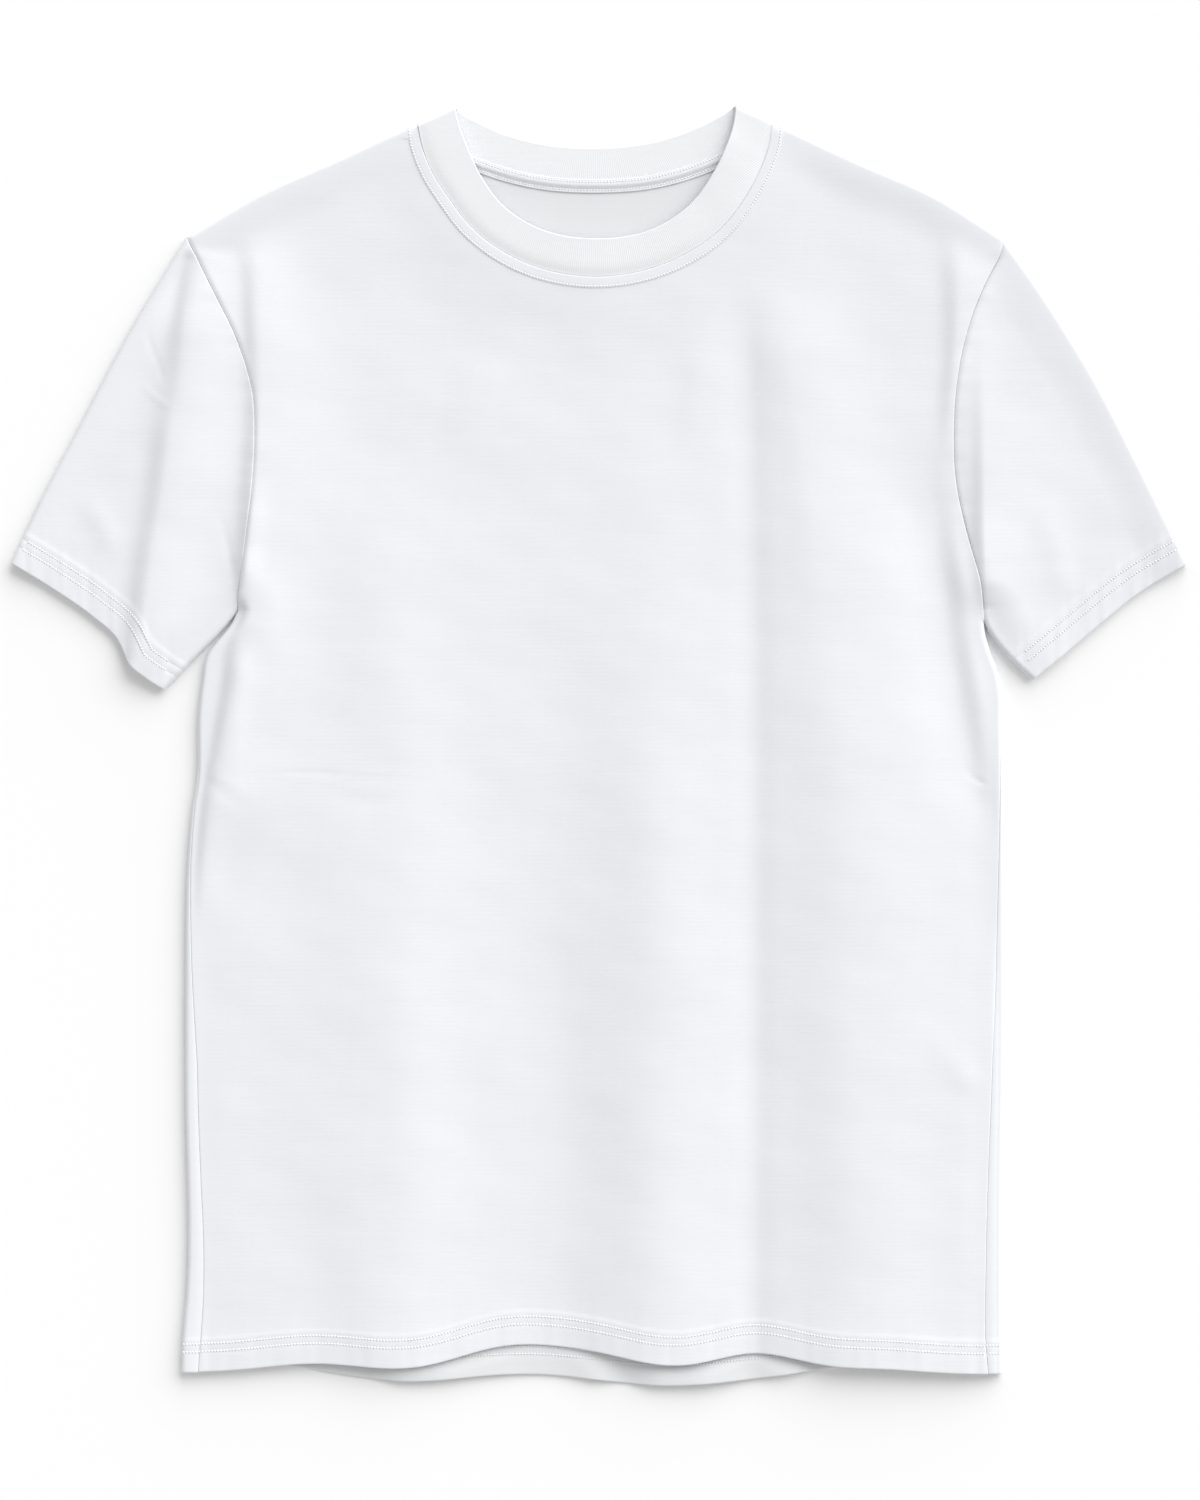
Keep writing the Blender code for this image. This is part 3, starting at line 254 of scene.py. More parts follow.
# rows that run parallel to the top: along the armhole, from the shoulder and from the neck seam
TOP_OF_ARMHOLE = (20.4, 18, 16, 14.2, 12.6, 11.2, 9.9, 8.8, 7.7, 6.7, 5.8, 5, 4.3, 3.7, 3.1, 2.6, 2.1, 1.7,
                  1.35, 1, 0.8, 0.7, 0.6)
SHOULDER_ROWS = (20, 17.6, 15.6, 13.8, 12.2, 10.7, 9.4, 8.3, 7.2, 6.2, 5.3, 4.5, 3.8, 3.2, 2.7, 2.3, 1.95,
                 1.6, 1.35, 1.1, 0.9, 0.75, 0.61)
NECKLINE_ROWS = (20, 17.6, 15.4, 13.4, 11.6, 10.2, 9, 8.2, 7.6, 7.2, 6.9, 6.6, 6.3, 6, 5.7, 5.3, 4.6, 3.6,
                 2.6, 1.6, 0.9, 0.35, 0.06)
NECK_STITCH = 5.9       # topstitching, out from the neck seam
CORNER_REACH = {"front": 25, "back": 14}  # where the innermost row turns from shoulder to neckline
LEAST_SPAN = 1          # evenly spaced columns stop this far from the next group
STRETCH_REACH = 20      # lines of unlike length match one to one near their ends, up to here
NORMAL_REACH = 8        # columns this near to a side keep square to it
NEAR_SIDE = 28          # columns up to here keep their distance from the side
SHOULDER_REACH = 76     # columns from the side seam up to here end on the shoulder, the rest on the neck
EARLY = 0.35            # part of the height from which the middle columns start to follow the top edge
EARLY_REACH = 73        # and how far in from the near columns they all do
TOP_EASE = 1.5          # power with which they come to follow it
HEM_EASE = (0.04, 0.3)  # the rows straighten above the hem: from this part of the height, over this part
FAR_EASE = 3.0          # power with which columns further in follow the armhole less

# columns of half a panel: from the side seam at the hem, and past the corner on the neckline
Column = namedtuple("Column", "at_hem past_corner")
SPREAD = Column((76, 90, 102, 114, 128, 145, 164, 184, 204, 225, 246),
                (0.6, 1.2, 3, 14, 30, 48, 68, 90, 112, 134, 156))
AT_SIDE = (0, 0.35, 0.9, 1.6, 2.4, 3.4, 4.6, 6, 7.6, 9.4, 11.4, 13.6, 16, 19, 22, 25, 28)
# columns of the back panel that wrap the folded side: where they lie beside its outermost line
WRAP_PLACES = (5, 4.3, 3.6, 2.9, 2.2, 1.6, 1, 0.5, 0, -0.5, -1, -1.6, -2.2, -2.9, -3.6)
WRAP_STEP = 0.25        # how far apart they lie along the armhole
WRAP_RIM = 0.4          # part of such a step from the seam to the next line
BACK_AT_SIDE = (5.5, 8, 10.5, 13, 16, 19, 23.5, 28)
FRONT_PITCH = 3
BACK_PITCH = 4.2
SLEEVE_PITCH = 2
SLEEVE_AT_EDGE = (0.5, 0.8, 1.2, 1.7, 2.3, 3, 4, 5.4)
SLEEVE_ROWS = 84
SLEEVE_SEAM_ROWS = (0, 0.35, 0.9, 1.7, 2.8, 4.2, 6)
CUFF_ROWS = (22.6, 21.1, 20.5, 19.9, 19.3, 18.6, 17, 16.5, 16.2, 15.9, 15.4, 13.6, 11.6, 11.1, 10.8, 10.5, 10,
             8.4, 6, 3.8, 2, 1, 0.3, 0)
CUFF_STITCHES = (16.2, 10.8)

# ---- neckband with narrow ribs across it, tape and stitches ----
RIB_PITCH = 1.3
RIB_DEPTH = 0.045
RIB_STEPS = 5           # points of one rib
# rows of points from the seam to the free edge, as parts of the last one
RIB_ROWS = (0, 0.3, 0.8, 1.6, 3, 5.5, 8.5, 11.5, 14.5, 17.5, 20, 21.4, 22.2, 22.7, 23)
RIB_SEWN_REACH = 5      # its wall is full this far from the seam
RIB_ROUND = RIB_WALL / 8  # its free edge is rounded over this width
RIB_LEAST = 0.25        # part of its wall left on that edge
RIB_SHOWN = (1.5, 0.8)  # the ribs rise over this much at the seam, and at the free edge
RIB_BED = 0.3           # how deep the front neckband beds into the cloth between the shoulders
TAPE_SPANS = 110

Stitch = namedtuple("Stitch", "length pitch width height")
TOPSTITCH = Stitch(1.2, 1.85, 0.8, 0.45)
CHAINSTITCH = Stitch(1.15, 1.85, 1, 0.6)
GROOVE = 0.15           # how deep a row of stitches sinks in
GROOVE_WIDTH = 0.6
SEAM_DIP = 1            # how deep the cloth on an armhole seam's +X side dips into it
SEAM_DIP_WIDTH = 1.2
# rows across the tape, from the back panel's side to the neckband's
TAPE_ROWS = (4, 3.7, 3.2, 2.8, 2.4, 2, 1.5, 0.8, 0, -0.8, -1.6, -2.1, -2.5, -2.9, -3.3, -3.7, -4)
TAPE_STITCHES = (2.4, -2.5)
TAPE_OVER_RIB = 0.15    # the tape lies this far above the neckband's edge
TAPE_OVER_PANEL = 0.12  # and above the back panel
TAPE_STEP = (-0.5, 2.5)  # where the tape steps from one to the other, and over what width
TAPE_UNEVEN = 0.5       # its unevenness beside that of the seams
STITCH_SIDES = 6
STITCH_RUN = 160        # points of the line that a row of stitches follows
HEM_RUN = 240           # and along a hem
# rings of a stitch: place along it, size, rise
STITCH_RINGS = ((-0.5, 0.35, -0.5), (-0.38, 0.8, 0.2), (0.0, 1.0, 1.0), (0.38, 0.8, 0.2), (0.5, 0.35, -0.5))
HEM_STITCH_END = 1.0    # rows of stitches end this far from the ends of a hem
NECK_STITCH_END = 1.5   # of the neckline
TAPE_STITCH_END = 0.5   # and of the tape
CUFF_STITCH_START = (1.2, 0.35)  # of a cuff, at the underarm: this far, and so much more for each mm in
CUFF_STITCH_STOP = 1.0  # and at its other end

# ---- light and camera, in metres ----
DOME = 0.60
KEY_FROM = (0.62, 0.86, 0.34)  # the direction that the key light comes from
KEY_WIDTH = 1.3         # the angle it fills, in radians
KEY_POWER = 4.4
CAMERA_HEIGHT = 2.5
CAMERA_REACH = 20.0
SENSOR_HEIGHT = 32.0    # in millimetres
VIEW_HEIGHT = 0.9
VIEW_CENTRE = (0.00024, -0.0032)
LOOK_FROM = 0.1         # stitches look down from this height for the cloth under them

# ---- looks ----
Noise = namedtuple("Noise", "scale detail roughness")
SLUB = Noise((48.0, 520.0, 300.0), 3.0, 0.55)  # yarn of uneven thickness, along the rows of loops
CLOUD = Noise((26.0, 26.0, 26.0), 2.0, 0.5)
FUZZ = Noise((2600.0, 2600.0, 2600.0), 2.0, 0.6)
SLUB_TONE = 0.6         # the slub's share in the unevenness of colour; the cloud has the rest
TONE_RANGE = (0.3, 0.7)
LOOP_BUMP = (0.3, 0.075)  # height of the loops across a row, and from row to row
SLUB_BUMP = 0.6
FUZZ_BUMP = 0.5
KNIT_BUMP = (0.6, 0.00012)  # strength, and distance in metres
COTTON_SPECULAR = 0.22
COTTON_SHEEN_ROUGHNESS = 0.45
Knit = namedtuple("Knit", "colour roughness sheen loop streaks")    # loop: its width and height
KNITS = {
    "jersey_knit": Knit((0.794, 0.804, 0.834), 0.9, 0.12, (1.1, 0.8), 0.008),
    # the garment's inside face: a darker copy of the jersey, painted shade for the inside of the neck opening
    # and the back hem seen below the front hem; partly the duller reverse side of the knit
    "jersey_knit_inside_painted_shade": Knit((0.748, 0.757, 0.773), 0.95, 0.12, (1.1, 0.8), 0.008),
    "rib_knit": Knit((0.826, 0.834, 0.853), 0.92, 0.12, (0.9, 0.7), 0.008),
    "tape_weave": Knit((0.83, 0.835, 0.86), 0.85, 0.08, (0.6, 0.6), 0.01),
}
THREAD_COLOUR = (0.93, 0.935, 0.95)
THREAD_DARKER = 0.95    # how dark its darkest places are beside that
THREAD_ROUGHNESS = 0.55
THREAD_SHEEN = 0.1
THREAD_GRAIN = 5000.0
THREAD_BUMP = (0.4, 0.00004)
FLOOR_COLOUR = (0.928, 0.928, 0.928, 1.0)
FLOOR_HALF = 4000.0     # from its middle to an edge
FLOOR_LEVEL = -0.2


# ---- lines and soft steps ----
class Line:
    """A smooth line through a few points, measured along its length."""

    def __init__(self, points, steps=LINE_STEPS):
        knots = np.array(points, dtype=float)
        chords = np.linalg.norm(np.diff(knots, axis=0), axis=1)
        slopes = np.diff(knots, axis=0) / chords[:, None]
        inner = slopes[:-1] * chords[1:, None] + slopes[1:] * chords[:-1, None]
        inner = inner / (chords[:-1] + chords[1:])[:, None]
        tangents = np.vstack([slopes[:1], inner, slopes[-1:]])
        t = np.arange(steps)[:, None] / steps
        spans = []
        for i, chord in enumerate(chords):
            start = (2 * t**3 - 3 * t**2 + 1) * knots[i] + (t**3 - 2 * t**2 + t) * chord * tangents[i]
            end = (3 * t**2 - 2 * t**3) * knots[i + 1] + (t**3 - t**2) * chord * tangents[i + 1]
            spans.append(start + end)
        self.points = np.vstack(spans + [knots[-1:]])
        steps_along = np.linalg.norm(np.diff(self.points, axis=0), axis=1)
        self.run = np.concatenate([[0.0], np.cumsum(steps_along)])
        self.length = self.run[-1]

    def at(self, distance):
        """The point that lies this far along the line."""
        return np.stack([np.interp(distance, self.run, self.points[:, k]) for k in range(2)], axis=-1)

    def x_at(self, y):
        """The line's x at a height y, for a line that only rises or only falls."""
        order = np.argsort(self.points[:, 1])
        return np.interp(y, self.points[order, 1], self.points[order, 0])

    def right_hand(self, distance):
        """The direction square to the line, on the right of one who walks along it."""
        reach = 1.5
        behind = self.at(np.maximum(distance - reach, 0.0))
        ahead = self.at(np.minimum(distance + reach, self.length)) - behind
        ahead = ahead / np.linalg.norm(ahead, axis=-1, keepdims=True)
        return np.stack([ahead[..., 1], -ahead[..., 0]], axis=-1)

    def nearest(self, x, y):
        """Distance to the line, + on its left hand, and how far along it the nearest point is."""
        best = np.full(np.shape(x), np.inf)
        side = np.zeros(np.shape(x))
        along = np.zeros(np.shape(x))
        for i, start in enumerate(self.points[:-1]):
            step = self.points[i + 1] - start
            size = step @ step
            t = np.clip(((x - start[0]) * step[0] + (y - start[1]) * step[1]) / size, 0.0, 1.0)
            dx = x - start[0] - t * step[0]
            dy = y - start[1] - t * step[1]
            gap = np.hypot(dx, dy)
            closer = gap < best
            best = np.where(closer, gap, best)
            side = np.where(closer, np.sign(step[0] * dy - step[1] * dx), side)
            along = np.where(closer, self.run[i] + t * np.sqrt(size), along)
        return best * side, along


def smooth(t):
    """0 below 0, 1 above 1, and a soft rise between."""
    t = np.clip(t, 0.0, 1.0)
    return t * t * (3.0 - 2.0 * t)


def bell(t):
    """1 at 0, and a soft fall on both sides."""
    return np.exp(-t**2)


def stretch(along, length, other):
    """Places along a line, carried over to a line of another length: near both ends they keep."""
    from_end = np.minimum(along, length - along)
    other_end = from_end * (1.0 + (other / length - 1.0) * smooth(from_end / STRETCH_REACH))
    return np.where(along < length / 2, other_end, other - other_end)


FRONT_NECK = Line(FRONT_SEAM)
FRONT_EDGE = Line(FRONT_INNER)
BACK_NECK = Line(BACK_SEAM)
BACK_EDGE = Line(BACK_INNER)
FOLDED_EDGES = [Line(points) for points in (
    SHOULDER_RIGHT, SHOULDER_LEFT, SIDE_RIGHT, SIDE_LEFT, SLEEVE_TOP_RIGHT, SLEEVE_TOP_LEFT,
    UNDERARM_RIGHT, UNDERARM_LEFT, [FRONT_INNER[0], FRONT_SEAM[0]], [FRONT_INNER[-1], FRONT_SEAM[-1]])]


# ---- heights ----
def inside_edge(x, y, wall=JERSEY):
    """How far the cloth's middle is in from where it turns at the nearest folded edge."""
    distance = np.min([np.abs(line.nearest(x, y)[0]) for line in FOLDED_EDGES], axis=0)
    return np.maximum(distance - wall / 2, 0.0)


def rounding(inside):
    """Height above the fold's centre, on the round of a folded edge."""
    part = np.clip(1.0 - inside / FOLD_RADIUS, 0.0, 1.0)
    return FOLD_RADIUS * np.sqrt(1.0 - part**2)


def swell(x, y, folds):
    """Sum of the heights of folds."""
    total = np.zeros(np.shape(x))
    for fold in folds:
        line = Line(fold.crest, steps=CREST_STEPS)
        side, along = line.nearest(x, y)
        width = np.where(side < 0, fold.width_right, fold.width_left)
        rise = fold.height * bell(side / width)
        if fold.fade_in:
            rise = rise * smooth(along / fold.fade_in)
        if fold.fade_out:
            rise = rise * smooth((line.length - along) / fold.fade_out)
        total += rise
    return total


def waves(x, y, table):
    """Sum of a table's waves."""
    total = np.zeros(np.shape(x))
    for wave in table:
        run = x * np.cos(wave.angle) + y * np.sin(wave.angle)
        total += wave.height * np.sin(2.0 * np.pi * run / wave.length + wave.phase)
    return total


def upper(x, y, place):
    """Height of the upper layer's middle."""
    inside = inside_edge(x, y)
    away = smooth((inside - FOLD_RADIUS) / SETTLE_REACH)
    near = smooth((inside - FOLD_RADIUS) / CREASE_REACH)
    level = FOLD_CENTRE + FOLD_RADIUS
    height = level + away * (swell(x, y, FOLDS.values()) - SETTLE + waves(x, y, UNEVEN)) - LOWEST_UPPER
    height = height + near * swell(x, y, CREASES[place])
    drop = LOWEST_UPPER + LOWEST_EASE * np.logaddexp(0.0, height / LOWEST_EASE) - level
    drop = np.where(inside > FOLD_RADIUS, drop, 0.0)
    return FOLD_CENTRE + np.maximum(rounding(inside), EDGE_GAP / 2) + drop


def lower(x, y, place, over):
    """Height of the lower layer's middle: nearly flat, and rounding up to the folded edges."""
    inside = inside_edge(x, y)
    away = smooth((inside - FOLD_RADIUS) / SETTLE_REACH)
    lift = away * swell(x, y, CREASES[place])
    room = np.maximum(upper(x, y, over) - LOWER_LAYER - LIFT_ROOM, 0.0)
    return FOLD_CENTRE - np.maximum(rounding(inside), EDGE_GAP / 2) + np.minimum(lift, room)


def hem_edge(x, bends):
    """Height y of a hem's edge."""
    y = np.interp(x, (SIDE_RIGHT[-1][0], SIDE_LEFT[-1][0]), HEM_LEVEL)
    for bend in bends:
        y = y + bend.rise * bell((x - bend.centre) / bend.half_width)
    return y


def groove(distance, rows):
    """How much of the wall rows of stitches take, at this distance from the edge they follow."""
    taken = 0.0
    for row in rows:
        taken = taken + GROOVE * bell((distance - row) / GROOVE_WIDTH)
    return taken


def cloth_wall(from_edge):
    """Wall of body and sleeves, thicker where a hem is turned up."""
    hem = 1.0 - smooth((from_edge - HEM_DEPTH) / HEM_STEP)
    return JERSEY + hem * (HEM_WALL - JERSEY)


# ---- the body's two sides ----
class Side:
    """One side of the body: sign is -1 on the wearer's right and 1 on the left."""

    def __init__(self, sign, outline, armhole, insets, shoulder):
        self.sign = sign
        self.outline = Line(outline)
        self.armhole = Line(armhole)
        self.shoulder = Line(shoulder)
        self.seam_y, self.seam_inset = np.array(insets)[::-1].T
        self.underarm_y = outline[0][1]

    def seam(self, y):
        """Place of the side seam along the cloth, from the side's outermost line."""
        inset = np.interp(y, self.seam_y, self.seam_inset)
        arc = FOLD_RADIUS * np.arccos(np.clip(1.0 - inset / FOLD_RADIUS, -1.0, 1.0))
        return np.where(inset < FOLD_RADIUS, arc, FOLD_RADIUS * (np.pi / 2 - 1.0) + inset)

    def place(self, y, along):
        """The point this far along the cloth from the side's outermost line, or from the armhole."""
        turn = np.abs(along)
        arc = FOLD_RADIUS * (1.0 - np.cos(np.minimum(turn / FOLD_RADIUS, np.pi / 2)))
        inset = JERSEY / 2 + arc + np.maximum(turn - FOLD_RADIUS * np.pi / 2, 0.0)
        square = np.minimum(inset, NORMAL_REACH)
        run = np.interp(-y, -self.outline.points[:, 1], self.outline.run)
        inward = self.sign * self.outline.right_hand(run)
        folded = self.outline.at(run) + inward * square[..., None]
        folded[..., 0] -= self.sign * (inset - square)
        open_edge = np.stack([self.armhole.x_at(y) - self.sign * turn, y], axis=-1)
        return np.where((y < self.underarm_y)[..., None], folded, open_edge)

    def row_heights(self, bends):
        """Heights y of the body's rows at this side, from the hem to the row below the shoulder."""
        hem = float(hem_edge(self.outline.points[-1][0], bends))
        rows = [hem + up for up in HEM_ROWS]
        rows += [self.underarm_y - down for down in BELOW_UNDERARM]
        rows += [self.underarm_y + up for up in ABOVE_UNDERARM]
        top = self.armhole_point(TOP_OF_ARMHOLE[0])[1]
        spans = np.arange(1, ARMHOLE_SPANS + 1) / ARMHOLE_SPANS
        return np.concatenate([rows, rows[-1] + (top - rows[-1]) * spans])

    def armhole_point(self, below_shoulder):
        """The point of the armhole this far along it from the tip of the shoulder."""
        return self.armhole.at(self.armhole.length - below_shoulder)


RIGHT = Side(-1, SIDE_RIGHT, ARMHOLE_RIGHT, SEAM_INSET_RIGHT, SHOULDER_RIGHT)
LEFT = Side(1, SIDE_LEFT, ARMHOLE_LEFT, SEAM_INSET_LEFT, SHOULDER_LEFT)


# ---- body panels ----
def half_columns(at_side, pitch):
    """Columns of half a panel: those beside the side, then evenly spaced ones."""
    reach = list(at_side) + list(np.arange(NEAR_SIDE + pitch, SHOULDER_REACH - LEAST_SPAN, pitch))
    columns = [Column(at_hem, 0.0) for at_hem in reach]
    for at_hem in np.arange(SHOULDER_REACH, HALF_CHEST - pitch / 2, pitch):
        columns.append(Column(at_hem, float(np.interp(at_hem, *SPREAD))))
    return columns


FRONT_COLUMNS = half_columns(AT_SIDE, FRONT_PITCH)
BACK_COLUMNS = half_columns(BACK_AT_SIDE, BACK_PITCH)


def offset_from(line, side, along, depth):
    """Points this deep in the panel, beside these places of a line that bounds it."""
    return line.at(along) + side * line.right_hand(along) * depth


def top_band(side, columns, neck):
    """Rows of points between the innermost row and the top edge, at one side."""
    corner = CORNER_REACH["front" if neck is FRONT_NECK else "back"]
    reach = np.array([column.at_hem for column in columns])
    past = np.array([column.past_corner for column in columns]) * neck.length / FRONT_NECK.length
    on_shoulder = reach < SHOULDER_REACH
    shoulder, half = side.shoulder.length, neck.length / 2
    part = np.clip(1.0 - reach / SHOULDER_REACH, 0.0, 1.0)
    shoulder_end = shoulder * part
    shoulder_inner = corner + (shoulder - corner) * part
    past_inner = np.interp(reach, (SHOULDER_REACH, HALF_CHEST), (corner, half))
    near_armhole = smooth(1.0 - reach / NEAR_SIDE)[:, None]
    rows = []
    for at_shoulder, at_neck, at_armhole in zip(SHOULDER_ROWS, NECKLINE_ROWS, TOP_OF_ARMHOLE):
        along = shoulder_end + (shoulder_inner - shoulder_end) * at_shoulder / BAND
        beside_shoulder = offset_from(side.shoulder, side.sign, along, at_shoulder)
        along = past + (past_inner - past) * at_neck / BAND
        along = along if side is RIGHT else neck.length - along
        beside_neck = offset_from(neck, 1.0, along, at_neck)
        row = np.where(on_shoulder[:, None], beside_shoulder, beside_neck)
        edge = side.armhole_point(at_armhole) - np.array([side.sign * SEAM_GAP / 2, 0.0])
        rows.append(row + near_armhole * (edge - row[0]))
    return np.array(rows)


def side_columns(side, y, middle, reach, edge):
    """One side's columns on the rows at heights y: each this far from the edge."""
    near = side.place(y, edge + NEAR_SIDE)
    above = y > side.underarm_y
    chord = near.copy()
    for k in range(2):
        chord[above, k] = np.interp(y[above], y[above][[0, -1]], near[above, k][[0, -1]])
    columns = []
    for distance in reach:
        if distance <= NEAR_SIDE:
            columns.append(side.place(y, edge + distance))
        else:
            part = (distance - NEAR_SIDE) / (HALF_CHEST - NEAR_SIDE)
            columns.append(chord + (middle - chord) * part + (near - chord) * (1.0 - part)**FAR_EASE)
    return np.stack(columns, axis=1)


def body_sheet(columns, neck, bends, columns_at):
    """Points (x, y) of a body panel in rows from hem to top and columns from right to left."""
    heights = [side.row_heights(bends) for side in (RIGHT, LEFT)]
    still = np.zeros(heights[0].shape)
    middle = (RIGHT.place(heights[0], still) + LEFT.place(heights[1], still)) / 2
    halves = [columns_at(side, y, middle) for side, y in zip((RIGHT, LEFT), heights)]
    sheet = np.concatenate([halves[0], middle[:, None], halves[1][:, ::-1]], axis=1)

    bands = [top_band(side, columns, neck) for side in (RIGHT, LEFT)]
    centre = neck.at(neck.length / 2) + np.outer(NECKLINE_ROWS, neck.right_hand(neck.length / 2))
    band = np.concatenate([bands[0], centre[:, None], bands[1][:, ::-1]], axis=1)

    reach = np.array([column.at_hem for column in columns])
    reach = np.concatenate([reach, [HALF_CHEST], reach[::-1]])
    rows_below = len(HEM_ROWS) + len(BELOW_UNDERARM)
    up = (middle[:, 1] - middle[0, 1]) / (middle[-1, 1] - middle[0, 1])
    late = up[rows_below]
    start = late + (EARLY - late) * smooth((reach - NEAR_SIDE) / EARLY_REACH)
    to_top = np.clip((up[:, None] - start) / (1.0 - start), 0.0, 1.0)**TOP_EASE
    hem_shift = hem_edge(sheet[0, :, 0], bends) - sheet[0, :, 1]
    to_top_shift = band[0] - sheet[-1]
    sheet[..., 1] += hem_shift * (1.0 - smooth((up - HEM_EASE[0]) / HEM_EASE[1]))[:, None]
    sheet = sheet + to_top[..., None] * to_top_shift
    return np.concatenate([sheet, band[1:]])


def puckers(x, y, above_hem):
    """Small unevenness of the cloth beside its seams and on its hem."""
    armholes = (RIGHT.armhole, LEFT.armhole)
    beside = [np.abs(line.nearest(x, y)[0]) for line in armholes]
    beyond = [x > line.x_at(y) for line in armholes]
    nearest = np.min(beside, axis=0)
    seams = bell(nearest / PUCKER_REACH) * waves(y, x, PUCKERS)
    for distance, dips in zip(beside, beyond):
        seams = seams - SEAM_DIP * dips * bell(distance / SEAM_DIP_WIDTH)
    hem = np.exp(-(above_hem / PUCKER_HEM) ** 4) * waves(x, y, HEM_PUCKERS)
    return seams + hem


def front_body():
    """The front panel, which is the upper layer between the side seams."""
    reach = [column.at_hem for column in FRONT_COLUMNS]

    def columns_at(side, y, middle):
        edge = np.where(y < side.underarm_y, side.seam(y) + EDGE_GAP / 2, SEAM_GAP / 2)
        return side_columns(side, y, middle, reach, edge)

    sheet = body_sheet(FRONT_COLUMNS, FRONT_NECK, FRONT_HEM_BENDS, columns_at)
    x, y = sheet[..., 0], sheet[..., 1]
    above_hem = y - hem_edge(x, FRONT_HEM_BENDS)
    from_neck = np.abs(FRONT_NECK.nearest(x, y)[0])
    strip = (1.0 - smooth((from_neck - STRIP_WIDTH) / STRIP_STEP)) * smooth(inside_edge(x, y) / STRIP_START)
    wall = cloth_wall(above_hem) + strip * (STRIP_WALL - JERSEY)
    z = upper(x, y, "front") + (wall - JERSEY) / 2 + puckers(x, y, above_hem)
    z[-1, on_shoulder_edge(FRONT_COLUMNS)] = FOLD_CENTRE + EDGE_GAP / 2
    taken = groove(above_hem, HEM_STITCHES) + groove(from_neck, (NECK_STITCH,))
    return shell("front_panel", np.stack([x, y, z], axis=-1), wall, taken=taken, inside=-1)


def on_shoulder_edge(columns):
    """Which columns of a whole panel end on a shoulder."""
    half = [column.at_hem < SHOULDER_REACH for column in columns]
    return np.array(half + [False] + half[::-1])


def back_body():
    """The back panel: it lies underneath and wraps the sides up to the side seams."""
    reach = [column.at_hem for column in BACK_COLUMNS]
    steps = [0, WRAP_RIM] + list(range(1, len(WRAP_PLACES) + 1))
    wrap_reach = [k * WRAP_STEP for k in steps]
    columns = [Column(at_hem, 0.0) for at_hem in wrap_reach] + BACK_COLUMNS
    underneath = []

    def columns_at(side, y, middle):
        below = y < side.underarm_y
        seam = side.seam(y) - EDGE_GAP / 2
        wrapped = []
        for k, at_hem in zip(steps, wrap_reach):
            place = seam + (WRAP_PLACES[-1] - seam) * k / len(WRAP_PLACES)
            if k >= 1:
                place = np.minimum(place, WRAP_PLACES[k - 1])
            place = np.where(below, place, -SEAM_GAP / 2 - at_hem)
            wrapped.append(place)
        underneath.append(np.array(wrapped).T < 0.0)
        wrapped = np.stack([side.place(y, place) for place in wrapped], axis=1)
        flat = side_columns(side, y, middle, reach, np.zeros(y.shape))
        return np.concatenate([wrapped, flat], axis=1)

    sheet = body_sheet(columns, BACK_NECK, BACK_HEM_BENDS, columns_at)
    x, y = sheet[..., 0], sheet[..., 1]
    on_top = np.zeros(x.shape, dtype=bool)
    rows, wraps = underneath[0].shape
    on_top[:rows, :wraps] = ~underneath[0]
    on_top[:rows, -wraps:] = ~underneath[1][:, ::-1]
    above_hem = y - hem_edge(x, BACK_HEM_BENDS)
    wall = cloth_wall(above_hem)
    z = np.where(on_top, upper(x, y, "front"), lower(x, y, "back", "front"))
    z = z + (wall - JERSEY) / 2
    z[-1, on_shoulder_edge(columns)] = FOLD_CENTRE - EDGE_GAP / 2
    taken = groove(above_hem, HEM_STITCHES)
    return shell("back_panel", np.stack([x, y, z], axis=-1), wall, taken=taken, inside=1)


